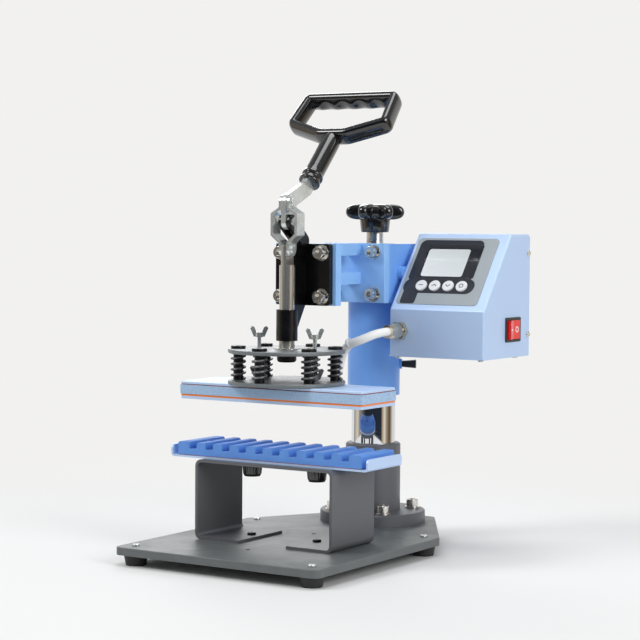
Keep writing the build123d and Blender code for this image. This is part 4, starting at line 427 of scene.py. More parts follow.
class Panel:
    """Place of the sloped panel: along its width, and up its slope, from its lower left corner."""

    LEFT: ClassVar[float] = 45.0 * MM
    FRONT: ClassVar[float] = 130.0 * MM
    FOOT: ClassVar[float] = 254.0 * MM
    RUN: ClassVar[float] = 61.0
    RISE: ClassVar[float] = 80.0
    LENGTH: ClassVar[float] = math.hypot(RUN, RISE)
    PRINTED: ClassVar[tuple[PanelField, ...]] = (
        PanelField(47.0, 64.0, 38.5, 27.5, 7.0),
        PanelField(49.0, 30.7, 42.5, 9.5, 9.0),
        PanelField(18.0, 20.0, 9.0, 12.5, 3.0),
    )
    WINDOW: ClassVar[PanelField] = PanelField(47.0, 61.5, 25.0, 18.0, 3.0)

    @classmethod
    def sockets(cls, wiring: Wiring) -> tuple[Socket, Socket]:
        """Works the place on the panel out of the object's coordinates.

        Args:
            wiring: The material's wiring.

        Returns:
            The distances along and up the panel, in metres.
        """
        x, y, z = wiring.axes(wiring.place())
        along = wiring.math("SUBTRACT", x, cls.LEFT)
        back = wiring.math("MULTIPLY", wiring.math("SUBTRACT", y, cls.FRONT), cls.RUN / cls.LENGTH)
        rise = wiring.math("MULTIPLY", wiring.math("SUBTRACT", z, cls.FOOT), cls.RISE / cls.LENGTH)
        return along, wiring.math("ADD", back, rise)

    @classmethod
    def point(cls, along: np.ndarray, up: np.ndarray, proud: float) -> np.ndarray:
        """Points over the panel.

        Args:
            along: Distances along the panel, in metres.
            up: Distances up its slope.
            proud: Height over its face.

        Returns:
            Rows of (x, y, z), in metres.
        """
        return np.stack([
            cls.LEFT + along,
            cls.FRONT + up * cls.RUN / cls.LENGTH - proud * cls.RISE / cls.LENGTH,
            cls.FOOT + up * cls.RISE / cls.LENGTH + proud * cls.RUN / cls.LENGTH,
        ], 1)


# ---------------------------------------------------------------- finishes


@dataclass(frozen=True)
class Finish:
    """A finish: two shades that mottle, a lighter edge colour painted on the edges as a highlight, a roughness that
    smudges, and a grain.
    """

    name: str
    colour: Colour
    shade: Colour
    # Lighter colour painted on the edges as a highlight; machined metal takes it by the mottle instead.
    edge: Colour
    roughness: tuple[float, float] = (0.4, 0.5)
    metallic: float = 0.0
    coat: float = 0.0
    coat_roughness: float = 0.1
    grain_scale: float = 900.0
    grain_height: float = 0.01 * MM
    mottle_scale: float = 35.0
    smudge_scale: float = 25.0
    edge_radius: float = 0.4 * MM
    # Share of the painted edge highlight.
    edge_highlight_share: float = 0.6

    def material(self) -> bpy.types.Material:
        """The material, built the first time it is asked for.

        Returns:
            The material with all its nodes.
        """
        found = bpy.data.materials.get(self.name)
        if found is not None:
            return found
        made = bpy.data.materials.new(self.name)
        made.use_nodes = True
        made.node_tree.nodes.clear()
        wiring = Wiring(made.node_tree)
        shader = wiring.add("ShaderNodeBsdfPrincipled")
        shader.inputs["Metallic"].default_value = self.metallic
        shader.inputs["Coat Weight"].default_value = self.coat
        shader.inputs["Coat Roughness"].default_value = self.coat_roughness
        self.wire(wiring, shader)
        output = wiring.add("ShaderNodeOutputMaterial")
        wiring.join(shader.outputs[0], output.inputs["Surface"])
        return made

    def wire(self, wiring: Wiring, shader: Node) -> None:
        """Feeds colour, roughness and normal.

        Args:
            wiring: The material's wiring.
            shader: Its Principled shader.
        """
        edge = use(wiring, Effect.EDGE, Radius=self.edge_radius)
        grain = use(wiring, Effect.GRAIN, Scale=self.grain_scale, Mottle_Scale=self.mottle_scale)
        smudge = use(wiring, Effect.SMUDGE, Scale=self.smudge_scale)
        bump = wiring.add("ShaderNodeBump")
        bump.inputs["Distance"].default_value = self.grain_height
        wiring.join(self.height(wiring, grain), bump.inputs["Height"])
        wiring.join(edge.outputs["Normal"], bump.inputs["Normal"])
        wiring.join(self.tint(wiring, grain, edge), shader.inputs["Base Color"])
        wiring.join(wiring.spread(smudge.outputs["Mask"], *self.roughness), shader.inputs["Roughness"])
        wiring.join(bump.outputs[0], shader.inputs["Normal"])

    def tint(self, wiring: Wiring, grain: Node, edge: Node) -> Socket:
        """Colour: the two shades by the mottle, then the lighter edge colour by the edge mask, a painted highlight
        on the edges.
        """
        body = wiring.mix(grain.outputs["Mottle"], self.colour, self.shade)
        return wiring.mix(wiring.math("MULTIPLY", edge.outputs["Mask"], self.edge_highlight_share), body, self.edge)

    def height(self, wiring: Wiring, grain: Node) -> Socket:
        """Height that the bump follows."""
        return grain.outputs["Height"]


@dataclass(frozen=True)
class Machined(Finish):
    """Bare metal with marks that run round Z or along an axis."""

    marks: tuple[float, float, float] = (15.0, 15.0, 2200.0)
    mottle_share: float = 0.35

    def cuts(self, wiring: Wiring) -> Node:
        """The marks of the cutting tool."""
        across = dict(zip(("Across_X", "Across_Y", "Across_Z"), self.marks))
        return use(wiring, Effect.TURNED, **across)

    def tint(self, wiring: Wiring, grain: Node, edge: Node) -> Socket:
        """Colour: the two shades by the streaks of the cut, then the edge shade by the mottle."""
        body = wiring.mix(self.cuts(wiring).outputs["Streak"], self.colour, self.shade)
        return wiring.mix(wiring.math("MULTIPLY", grain.outputs["Mottle"], self.mottle_share), body, self.edge)

    def height(self, wiring: Wiring, grain: Node) -> Socket:
        """Height of the tool marks."""
        return self.cuts(wiring).outputs["Height"]


@dataclass(frozen=True)
class Threaded(Machined):
    """Machined metal whose shank carries a thread of one pitch along Z."""

    pitch: float = 1.0 * MM

    def height(self, wiring: Wiring, grain: Node) -> Socket:
        """Height: a sine along Z, one wave to the pitch.

        Args:
            wiring: The material's wiring.
            grain: Its grain, which the thread takes the place of.

        Returns:
            The height, 0 to 1.
        """
        up = wiring.axes(wiring.place())[2]
        wave = wiring.math("SINE", wiring.math("MULTIPLY", up, FULL_TURN / self.pitch))
        return wiring.spread(wave, 0.0, 1.0, -1.0, 1.0)


@dataclass(frozen=True)
class Sleeving(Finish):
    """Braided sleeve of a cable: two crossing sets of strands in the cable's own UV map."""

    strands: tuple[float, float] = (26.0, 260.0)

    def height(self, wiring: Wiring, grain: Node) -> Socket:
        """Height: the higher of two sine sets that cross.

        Args:
            wiring: The material's wiring.
            grain: Its grain, which the braid takes the place of.

        Returns:
            The height, -1 to 1.
        """
        u, v, _ = wiring.axes(wiring.add("ShaderNodeTexCoord").outputs["UV"])
        along = wiring.math("MULTIPLY", u, self.strands[1])
        around = wiring.math("MULTIPLY", v, self.strands[0])
        waves = [
            wiring.math("SINE", wiring.math("MULTIPLY", wiring.math(crossing, along, around), FULL_TURN))
            for crossing in ("ADD", "SUBTRACT")
        ]
        return wiring.math("MAXIMUM", *waves)


@dataclass(frozen=True)
class PanelPrint(Finish):
    """Grey film of the control panel with dark printed fields round its window and buttons."""

    print_colour: Colour = (0.015, 0.018, 0.028)

    def tint(self, wiring: Wiring, grain: Node, edge: Node) -> Socket:
        """Colour: the film, and the ink where any of the fields covers it.

        Args:
            wiring: The material's wiring.
            grain: Its grain.
            edge: Its edge mask, which the film doesn't show.

        Returns:
            The colour.
        """
        body = wiring.mix(grain.outputs["Mottle"], self.colour, self.shade)
        place = Panel.sockets(wiring)
        first, *others = (printed.mask(wiring, place) for printed in Panel.PRINTED)
        covered = first
        for mask in others:
            covered = wiring.math("MAXIMUM", covered, mask)
        return wiring.mix(covered, body, self.print_colour)


@dataclass(frozen=True)
class Screen(Finish):
    """Pale display behind its window, with a dark rim where the frame hides the glass."""

    rim: Colour = (0.012, 0.014, 0.02)
    fall: tuple[float, float] = (60.0 * MM, 150.0 * MM)

    def tint(self, wiring: Wiring, grain: Node, edge: Node) -> Socket:
        """Colour: the pale field inside, the rim outside, and a faint fall to the upper right.

        Args:
            wiring: The material's wiring.
            grain: Its grain, which the glass doesn't show.
            edge: Its edge mask, which it doesn't show either.

        Returns:
            The colour.
        """
        place = Panel.sockets(wiring)
        fall = wiring.spread(wiring.math("ADD", *place), 0.0, 1.0, *self.fall)
        pale = wiring.mix(fall, self.colour, self.shade)
        return wiring.mix(Panel.WINDOW.mask(wiring, place), self.rim, pale)


LIGHT_BLUE = Finish("light_blue_coat", paint(148, 188, 238), paint(143, 184, 235), paint(180, 208, 243),
                    roughness=(0.36, 0.46), grain_height=0.012 * MM, grain_scale=1100.0)
ARM_BLUE = Finish("arm_blue_coat", paint(146, 193, 246), paint(140, 188, 243), paint(176, 210, 248),
                  roughness=(0.3, 0.4), grain_height=0.012 * MM, grain_scale=1000.0)
SLEEVE_BLUE = Finish("sleeve_blue_coat", paint(117, 170, 239), paint(111, 164, 235), paint(154, 195, 245),
                     roughness=(0.28, 0.38), grain_height=0.01 * MM, grain_scale=1000.0)
PLATEN_BLUE = Finish("platen_blue_cast", paint(176, 203, 229), paint(134, 166, 202), paint(198, 218, 237),
                     roughness=(0.4, 0.55), grain_height=0.14 * MM, grain_scale=520.0, mottle_scale=800.0)
DARK_GREY = Finish("dark_grey_coat", paint(88, 91, 94), paint(81, 84, 87), paint(120, 124, 127),
                   roughness=(0.42, 0.52), grain_height=0.05 * MM, grain_scale=1500.0, mottle_scale=60.0)
BASE_GREY = Finish("base_grey_coat", paint(96, 100, 101), paint(89, 93, 94), paint(128, 132, 134),
                   roughness=(0.4, 0.5), grain_height=0.06 * MM, grain_scale=1500.0, mottle_scale=60.0)
DISC_GREY = Machined("disc_grey_coat", paint(116, 121, 123), paint(107, 112, 114), paint(140, 146, 148),
                     roughness=(0.34, 0.44), metallic=0.35, grain_height=0.008 * MM, marks=(400.0, 400.0, 60.0))
BLACK_METAL = Finish("blackened_steel", paint(34, 34, 35), paint(28, 28, 29), paint(70, 70, 72),
                     roughness=(0.28, 0.42), metallic=0.5, grain_height=0.01 * MM)
SPRING_STEEL = Machined("oiled_spring_steel", paint(122, 122, 124), paint(98, 98, 101), paint(150, 150, 153),
                        roughness=(0.24, 0.36), metallic=0.55, grain_height=0.006 * MM, marks=(900.0, 900.0, 900.0))
CHROME = Finish("hard_chrome", paint(228, 230, 233), paint(222, 225, 229), paint(238, 239, 241),
                roughness=(0.015, 0.04), metallic=1.0, grain_height=0.001 * MM)
ZINC = Finish("zinc_plate", paint(226, 231, 231), paint(210, 215, 212), paint(238, 240, 239),
              roughness=(0.16, 0.3), metallic=0.75, grain_height=0.02 * MM, grain_scale=500.0, mottle_scale=110.0)
STAINLESS = Machined("stainless_bolt", paint(226, 222, 214), paint(204, 200, 192), paint(236, 234, 230),
                     roughness=(0.1, 0.2), metallic=1.0, grain_height=0.003 * MM, marks=(500.0, 500.0, 500.0))
ROD_STEEL = Machined("plunger_steel", paint(214, 213, 207), paint(172, 170, 163), paint(218, 216, 211),
                     roughness=(0.14, 0.24), metallic=0.8, grain_height=0.004 * MM, marks=(900.0, 900.0, 18.0))
SPINDLE = Threaded("height_screw_steel", paint(214, 212, 206), paint(188, 186, 180), paint(228, 226, 222),
                   roughness=(0.14, 0.26), metallic=1.0, grain_height=0.02 * MM, pitch=0.35 * MM)
BRONZE = Machined("turned_bronze", paint(190, 150, 92), paint(170, 132, 78), paint(210, 172, 112),
                  roughness=(0.25, 0.35), metallic=1.0, grain_height=0.006 * MM)
NICKEL = Machined("nickel_plated_brass", paint(216, 206, 184), paint(196, 184, 158), paint(232, 226, 212),
                  roughness=(0.12, 0.24), metallic=1.0, grain_height=0.006 * MM, marks=(30.0, 1400.0, 30.0))
RUBBER = Finish("foot_rubber", paint(42, 42, 43), paint(36, 36, 37), paint(60, 60, 61),
                roughness=(0.55, 0.7), grain_height=0.04 * MM, grain_scale=900.0)
MOULD_BLUE = Finish("mould_silicone", paint(93, 145, 218), paint(87, 138, 212), paint(120, 168, 230),
                    roughness=(0.55, 0.7), grain_height=0.03 * MM, grain_scale=500.0, mottle_scale=70.0,
                    edge_radius=0.7 * MM)
SEAM_BROWN = Finish("seam_sealant", paint(96, 92, 108), paint(168, 70, 62), paint(110, 96, 108),
                    roughness=(0.5, 0.6), grain_height=0.02 * MM, mottle_scale=420.0)
GASKET_ORANGE = Finish("orange_silicone", paint(222, 102, 44), paint(205, 88, 36), paint(235, 130, 70),
                       roughness=(0.5, 0.6), grain_height=0.03 * MM, mottle_scale=160.0)
GLOSS_BLACK = Finish("gloss_black_moulding", paint(22, 22, 23), paint(18, 18, 19), paint(36, 36, 38),
                     roughness=(0.14, 0.24), coat=0.8, coat_roughness=0.05, grain_height=0.006 * MM,
                     grain_scale=160.0, edge_radius=0.9 * MM)
HANDLE_BLACK = Finish("handle_black_moulding", paint(17, 17, 18), paint(14, 14, 15), paint(22, 22, 24),
                      roughness=(0.16, 0.22), coat=0.9, coat_roughness=0.06, grain_height=0.0004 * MM,
                      grain_scale=160.0, edge_radius=0.02 * MM)
MATTE_BLACK = Finish("matte_black_moulding", paint(36, 36, 38), paint(30, 30, 32), paint(64, 64, 66),
                     roughness=(0.38, 0.5), grain_height=0.02 * MM, grain_scale=1200.0)
CLAMP_BODY = Finish("clamp_body", paint(11, 11, 12), paint(8, 8, 9), paint(34, 34, 36),
                    roughness=(0.2, 0.3), grain_height=0.01 * MM)
PANEL_FILM = PanelPrint("panel_film", paint(158, 166, 171), paint(152, 160, 165), paint(170, 178, 182),
                        roughness=(0.3, 0.38), grain_height=0.006 * MM, grain_scale=2200.0)
DISPLAY = Screen("display_glass", paint(228, 231, 232), paint(198, 205, 206), paint(220, 224, 225),
                 roughness=(0.1, 0.16), coat=0.6, coat_roughness=0.04, grain_height=0.0005 * MM)
BUTTON_WHITE = Finish("white_button", paint(228, 230, 232), paint(220, 222, 225), paint(240, 241, 242),
                      roughness=(0.22, 0.3), coat=0.3, grain_height=0.005 * MM)
ROCKER_RED = Finish("red_rocker", paint(232, 26, 12), paint(222, 20, 9), paint(240, 54, 36),
                    roughness=(0.18, 0.26), coat=0.25, grain_height=0.004 * MM, edge_radius=0.6 * MM)
BOARD_GREEN = Finish("circuit_board", paint(38, 96, 54), paint(32, 84, 48), paint(60, 120, 76),
                     roughness=(0.4, 0.5), grain_height=0.01 * MM)
CABLE_WHITE = Sleeving("white_sleeving", paint(238, 236, 226), paint(229, 227, 216), paint(240, 239, 232),
                       roughness=(0.5, 0.62), grain_height=0.03 * MM, edge_radius=0.1 * MM)
TIE_CLEAR = Finish("clear_tie", paint(222, 226, 226), paint(208, 213, 213), paint(236, 238, 238),
                   roughness=(0.2, 0.3), coat=0.4, grain_height=0.004 * MM)
MARK_INK = Finish("button_ink", paint(60, 66, 78), paint(52, 58, 70), paint(70, 76, 88),
                  roughness=(0.4, 0.5), grain_height=0.002 * MM)
MARK_WHITE = Finish("rocker_mark", paint(238, 238, 236), paint(230, 230, 228), paint(244, 244, 242),
                    roughness=(0.3, 0.4), grain_height=0.002 * MM)


# ---------------------------------------------------------------- surfaces


@dataclass
class Surface:
    """A grid surface in the frame of the object, round along its columns."""

    name: str
    points: np.ndarray
    wrap_rows: bool = False
    caps: bool = False

    def build(self) -> bpy.types.Object:
        """Joins each grid cell into a quad, and closes the two ends with a fan if asked.

        Returns:
            The object, at the origin, with smooth faces that point outwards.
        """
        rows, columns = self.points.shape[:2]
        row = np.arange(rows if self.wrap_rows else rows - 1)
        column = np.arange(columns)
        low_row, low_column = [axis.ravel() for axis in np.meshgrid(row, column, indexing="ij")]
        high_row = (low_row + 1) % rows
        high_column = (low_column + 1) % columns
        quads = np.stack([
            low_row * columns + low_column,
            low_row * columns + high_column,
            high_row * columns + high_column,
            high_row * columns + low_column,
        ], axis=1)
        vertices = self.points.reshape(-1, 3)
        faces = quads.tolist()
        if self.caps:
            centres = np.stack([self.points[0].mean(0), self.points[-1].mean(0)])
            first = len(vertices)
            ring = np.arange(columns)
            after = (ring + 1) % columns
            faces += np.stack([np.full(columns, first), after, ring], 1).tolist()
            last = (rows - 1) * columns
            faces += np.stack([np.full(columns, first + 1), last + ring, last + after], 1).tolist()
            vertices = np.concatenate([vertices, centres])
        mesh = bpy.data.meshes.new(self.name)
        mesh.from_pydata(vertices.tolist(), [], faces)
        mesh.polygons.foreach_set("use_smooth", np.ones(len(faces), bool))
        mesh.update()
        made = bpy.data.objects.new(self.name, mesh)
        bpy.context.scene.collection.objects.link(made)
        return made


def round_angles(steps: int) -> np.ndarray:
    """Evenly spaced angles of a full turn, in radians."""
    return np.linspace(0, FULL_TURN, steps, endpoint=False)


def square_to(along: np.ndarray) -> tuple[np.ndarray, np.ndarray]:
    """Two unit vectors that are square to a direction and to each other.

    Args:
        along: The direction, of length 1.

    Returns:
        One that is square to Z too, or to X where the direction is near Z, and the other.
    """
    helper = np.array([0.0, 0.0, 1.0]) if abs(along[2]) < 0.9 else np.array([1.0, 0.0, 0.0])
    first = np.cross(helper, along)
    first /= np.linalg.norm(first)
    return first, np.cross(along, first)


def left_of(runs: np.ndarray) -> np.ndarray:
    """Unit vectors a quarter turn to the left of each run.

    Args:
        runs: Rows of (across, up).

    Returns:
        Rows of (across, up), of length 1.
    """
    unit = runs / np.linalg.norm(runs, axis=1)[:, None]
    return np.stack([-unit[:, 1], unit[:, 0]], 1)


def revolved(name: str, origin: Point, axis: Point | np.ndarray, profile: np.ndarray,
             steps: int = 48) -> bpy.types.Object:
    """A profile turned round an axis.

    A point at angle t of profile row i is origin + axis * height_i
    + (first * cos t + second * sin t) * radius_i, with first and second across the axis.

    Args:
        name: The object's name.
        origin: A point of the axis, in millimetres.
        axis: The direction of the axis.
        profile: Rows of (radius, height), in millimetres.
        steps: Points round the axis.

    Returns:
        The closed object.
    """
    along = np.array(axis, float) / np.linalg.norm(axis)
    first, second = square_to(along)
    angle = round_angles(steps)
    ring = first * np.cos(angle)[:, None] + second * np.sin(angle)[:, None]
    radius, height = (profile * MM).T[:, :, None, None]
    return Surface(name, np.array(origin) * MM + along * height + ring[None] * radius, caps=True).build()


def rounded_profile(corners: tuple[tuple[float, float], ...], share: float = 0.35, steps: int = 5) -> np.ndarray:
    """Softens the inner corners of a profile.

    Each corner gives way to a curve (1-t)^2 a + 2t(1-t) corner + t^2 b, where a and b lie on
    the two runs at a share of their length.

    Args:
        corners: Rows of (radius, height).
        share: Part of each run that the curve takes.
        steps: Points on each curve.

    Returns:
        The softened rows.
    """
    rows = np.array(corners)
    time = np.linspace(0, 1, steps)[None, :, None]
    middle = rows[1:-1, None, :]
    before = middle + (rows[:-2, None, :] - middle) * share
    after = middle + (rows[2:, None, :] - middle) * share
    curves = (1 - time) ** 2 * before + 2 * time * (1 - time) * middle + time**2 * after
    return np.concatenate([rows[:1], curves.reshape(-1, 2), rows[-1:]])


def dress(finish: Finish, *names: str) -> None:
    """Gives CAD nodes a finish through their material slots.

    Args:
        finish: The finish.
        *names: The nodes.
    """
    material = finish.material()
    for name in names:
        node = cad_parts[name]
        if not node.material_slots:
            node.data.materials.append(material)
        for slot in node.material_slots:
            slot.material = material
        LOG.info("%s: %s", name, finish.name)


def finish_piece(piece: bpy.types.Object, finish: Finish, body: str) -> None:
    """Gives an added piece its finish and its body.

    Args:
        piece: The piece.
        finish: Its finish.
        body: The body that it rides on.
    """
    piece.data.materials.append(finish.material())
    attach(piece, body)
    LOG.info("%s rides on %s", piece.name, body)


# ---------------------------------------------------------------- sub-assemblies


class SubAssembly:
    """Pieces that are made and dressed together."""

    def build(self) -> None:
        """Makes the pieces that only the scene has, if there are any."""

    def dress(self) -> None:
        """Gives the CAD nodes their finishes, if there are any."""


@dataclass
class BaseStand(SubAssembly):
    """Base plate with its feet, post and flange, and the stand with its tray and mould."""

    def dress(self) -> None:
        """Finishes of the fixed pieces and the two tray knobs."""
        dress(BASE_GREY, "base_plate")
        dress(DARK_GREY, "post_flange", "stand_bracket")
        dress(RUBBER, "rubber_feet")
        dress(ZINC, "foot_screws")
        dress(BLACK_METAL, "bracket_screws")
        dress(STAINLESS, "flange_washers", "flange_bolts")
        dress(CHROME, "post")
        dress(LIGHT_BLUE, "tray")
        dress(SEAM_BROWN, "mould_pad")
        dress(MOULD_BLUE, "pen_mould")
        dress(GLOSS_BLACK, "left_tray_knob", "right_tray_knob")


@dataclass
class LiftScrew(SubAssembly):
    """Bush, collar, height screw and its star knob."""

    knob_axis: tuple[float, float] = (0.0, 173.6)
    knob_level: float = 357.0
    knob_reach: float = 32.0
    knob_waist: float = 19.0
    knob_half_height: float = 8.5
    knob_arms: int = 6
    knob_turn: float = -28.0
    arm_spread: float = 15.0
    arm_power: float = 2.6
    level_power: float = 2.2
    rim_power: float = 6.0
    hub_profile: tuple[tuple[float, float], ...] = (
        (6.2, 335.0), (15.0, 335.0), (15.4, 336.0), (16.6, 347.5), (16.6, 352.0), (6.2, 352.0),
    )

    def star(self) -> bpy.types.Object:
        """The knob's star with rounded arms.

        At the angle t from the nearest arm the reach is waist + (tip - waist) * lobe, with
        lobe = (1 - (t / spread)^p)^(1/p) for the arm power p, made smooth over its neighbours.
        Each point has (radius / reach)^rim power + (level / half height)^level power = 1.

        Returns:
            The star as one closed surface.
        """
        turn = np.linspace(0, 360, 288, endpoint=False)
        pitch = 360.0 / self.knob_arms
        off = np.abs((turn - self.knob_turn + pitch / 2) % pitch - pitch / 2) / self.arm_spread
        lobe = np.clip(1 - np.clip(off, 0, 1) ** self.arm_power, 0, 1) ** (1 / self.arm_power)
        lobe = np.stack([np.roll(lobe, shift) for shift in range(-3, 4)]).mean(0)
        reach = self.knob_waist + (self.knob_reach - self.knob_waist) * lobe
        level = np.sin(np.linspace(-np.pi / 2, np.pi / 2, 41)[1:-1])
        share = (1 - np.abs(level) ** self.level_power) ** (1 / self.rim_power)
        radius = reach[None, :] * share[:, None]
        angle = np.radians(turn)
        points = np.stack([
            self.knob_axis[0] + radius * np.cos(angle),
            self.knob_axis[1] + radius * np.sin(angle),
            np.broadcast_to(self.knob_level + level[:, None] * self.knob_half_height, radius.shape),
        ], 2)
        return Surface("knob_star", points * MM, caps=True).build()

    def build(self) -> None:
        """Makes the star knob, which takes the place of its plain solid."""
        hub = revolved("knob_hub", (*self.knob_axis, 0.0), (0, 0, 1), np.array(self.hub_profile), 64)
        for piece in (self.star(), hub):
            finish_piece(piece, GLOSS_BLACK, "height_knob")
            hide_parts("height_knob")

    def dress(self) -> None:
        """Finishes of the lift."""
        dress(BRONZE, "lift_bush")
        dress(STAINLESS, "lift_collar")
        dress(SPINDLE, "height_spindle")


@dataclass
class SwingArm(SubAssembly):
    """Sleeve with its channel, the arm bracket, their screws and the lock knob."""

    def dress(self) -> None:
        """Finishes of the arm."""
        dress(SLEEVE_BLUE, "arm_sleeve")
        dress(ARM_BLUE, "arm_bracket")
        dress(STAINLESS, "arm_washers", "arm_bolts")
        dress(MATTE_BLACK, "lock_knob")


@dataclass
class ToggleClamp(SubAssembly):
    """Clamp body, lever with its handle, links and plunger."""

    tilt: float = 44.0
    stem_back: float = 39.4
    stem_height: float = 385.4
    bar: float = 11.0
    depth: float = 20.0
    section_power: float = 2.4
    corners: tuple[tuple[float, float], ...] = (
        (-58.25, 130.5), (-63.0, 82.0), (-16.25, 64.0), (16.25, 64.0), (63.0, 82.0), (58.25, 130.5),
    )
    corner_softness: float = 7.0
    finger_depth: float = 1.8
    finger_pitch: float = 21.0
    finger_reach: float = 48.0
    finger_fade: float = 8.0
    bar_fade: float = 4.0
    front_fade: tuple[float, float] = (6.0, 8.0)
    stem_profile: tuple[tuple[float, float], ...] = (
        (7.0, 0.0), (11.2, 0.3), (11.5, 2.0), (11.2, 3.8), (9.6, 4.4), (9.6, 7.6), (11.2, 8.2),
        (11.5, 10.0), (11.2, 11.8), (10.2, 12.6), (10.2, 30.0), (10.2, 62.0), (9.0, 67.0), (5.6, 69.4),
    )

    def outline(self, samples: int = 360) -> np.ndarray:
        """Centre line of the frame.

        The corners move in by half the bar, the polygon is sampled evenly, and each sample is
        replaced by the mean of its neighbours within the softness, which rounds the corners.

        Args:
            samples: Points round the frame.

        Returns:
            Rows of (across, up) in millimetres.
        """
        outer = np.array(self.corners)
        inward = left_of(np.roll(outer, -1, 0) - outer)
        before = np.roll(inward, 1, 0)
        bisector = inward + before
        bisector /= (1 + (inward * before).sum(1))[:, None]
        centre = outer + bisector * self.bar / 2
        closed = np.concatenate([centre, centre[:1]])
        length = np.concatenate([[0], np.cumsum(np.linalg.norm(np.diff(closed, axis=0), axis=1))])
        place = np.linspace(0, length[-1], samples, endpoint=False)
        even = np.stack([np.interp(place, length, closed[:, axis]) for axis in range(2)], 1)
        width = max(1, int(self.corner_softness / length[-1] * samples / 2))
        return np.stack([np.roll(even, shift, 0) for shift in range(-width, width + 1)]).mean(0)

    def directions(self) -> tuple[np.ndarray, np.ndarray]:
        """Unit vectors up the stem and out of the frame's front face."""
        rise, run = math.cos(math.radians(self.tilt)), math.sin(math.radians(self.tilt))
        return np.array([0, run, rise]), np.array([0, -rise, run])

    def frame_surface(self) -> bpy.types.Object:
        """The D-shaped frame.

        A superellipse section is carried round the centre line. On the upper bar its inner
        side swells by a raised cosine, one wave to each finger, that fades out towards the
        bar's ends and the front face.

        Returns:
            The frame as one closed ring.
        """
        line = self.outline()
        inward = left_of(np.roll(line, -1, 0) - np.roll(line, 1, 0))
        turn = round_angles(40)
        across, deep = (
            np.sign(share) * np.abs(share) ** (2 / self.section_power) * size / 2
            for share, size in ((np.cos(turn), self.bar), (np.sin(turn), self.depth))
        )
        level = line[:, 1] - (self.corners[0][1] - self.bar)
        inside = (self.finger_reach - np.abs(line[:, 0])) / self.finger_fade
        top = np.clip(level / self.bar_fade, 0, 1) * np.clip(inside, 0, 1)
        wave = top * self.finger_depth * (0.5 + 0.5 * np.cos(FULL_TURN * line[:, 0] / self.finger_pitch))
        behind = (self.front_fade[0] - deep) / self.front_fade[1]
        swell = wave[:, None] * (np.clip(np.cos(turn), 0, 1) * np.clip(behind, 0, 1))[None, :]
        flat = line[:, None, :] + inward[:, None, :] * (across[None, :] + swell)[..., None]
        up, out = self.directions()
        base = np.array([0, self.stem_back, self.stem_height])
        points = (base + flat[..., :1] * np.array([1.0, 0, 0]) + flat[..., 1:] * up
                  + deep[None, :, None] * out) * MM
        return Surface("handle_frame", points, wrap_rows=True).build()

    def stem_surface(self) -> bpy.types.Object:
        """The stem with its two collars, turned round its axis."""
        origin = (0.0, self.stem_back, self.stem_height)
        return revolved("handle_stem", origin, self.directions()[0], rounded_profile(self.stem_profile), 64)

    def build(self) -> None:
        """Makes the handle's two surfaces, which take the place of its plain solid."""
        for piece in (self.frame_surface(), self.stem_surface()):
            finish_piece(piece, HANDLE_BLACK, "lever")
            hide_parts("handle")

    def dress(self) -> None:
        """Finishes of the clamp."""
        dress(CLAMP_BODY, "clamp_frame")
        dress(ZINC, "pivot_pin", "lever", "toggle_links", "link_rivets")
        dress(ROD_STEEL, "plunger_rod")
        dress(BLACK_METAL, "rod_nut")


@dataclass
class SpringPack(SubAssembly):
    """Two discs, six guide bolts with their springs, and four wing bolts."""

    def dress(self) -> None:
        """Finishes of the spring pack."""
        dress(DISC_GREY, "upper_disc", "lower_disc")
        dress(BLACK_METAL, "guide_bolts")
        dress(SPRING_STEEL, "springs", "lower_left_wing_bolt", "lower_right_wing_bolt")
        dress(ZINC, "upper_left_wing_bolt", "upper_right_wing_bolt")


@dataclass
class HeatedPlaten(SubAssembly):
    """Heat plate, gasket, heater block, seam and cap."""

    def dress(self) -> None:
        """Finishes of the platen."""
        dress(PLATEN_BLUE, "heater_block")
        dress(LIGHT_BLUE, "heat_plate", "platen_cap")
        dress(GASKET_ORANGE, "platen_gasket")
        dress(SEAM_BROWN, "platen_seam")


class ButtonMark(Enum):
    """The plain marks of the four buttons, by their number."""

    BAR = 1
    UP = 2
    DOWN = 3
    RING = 4


class RockerMark(Enum):
    """The two plain marks of a switch."""

    ON = "rocker_bar"
    OFF = "rocker_ring"


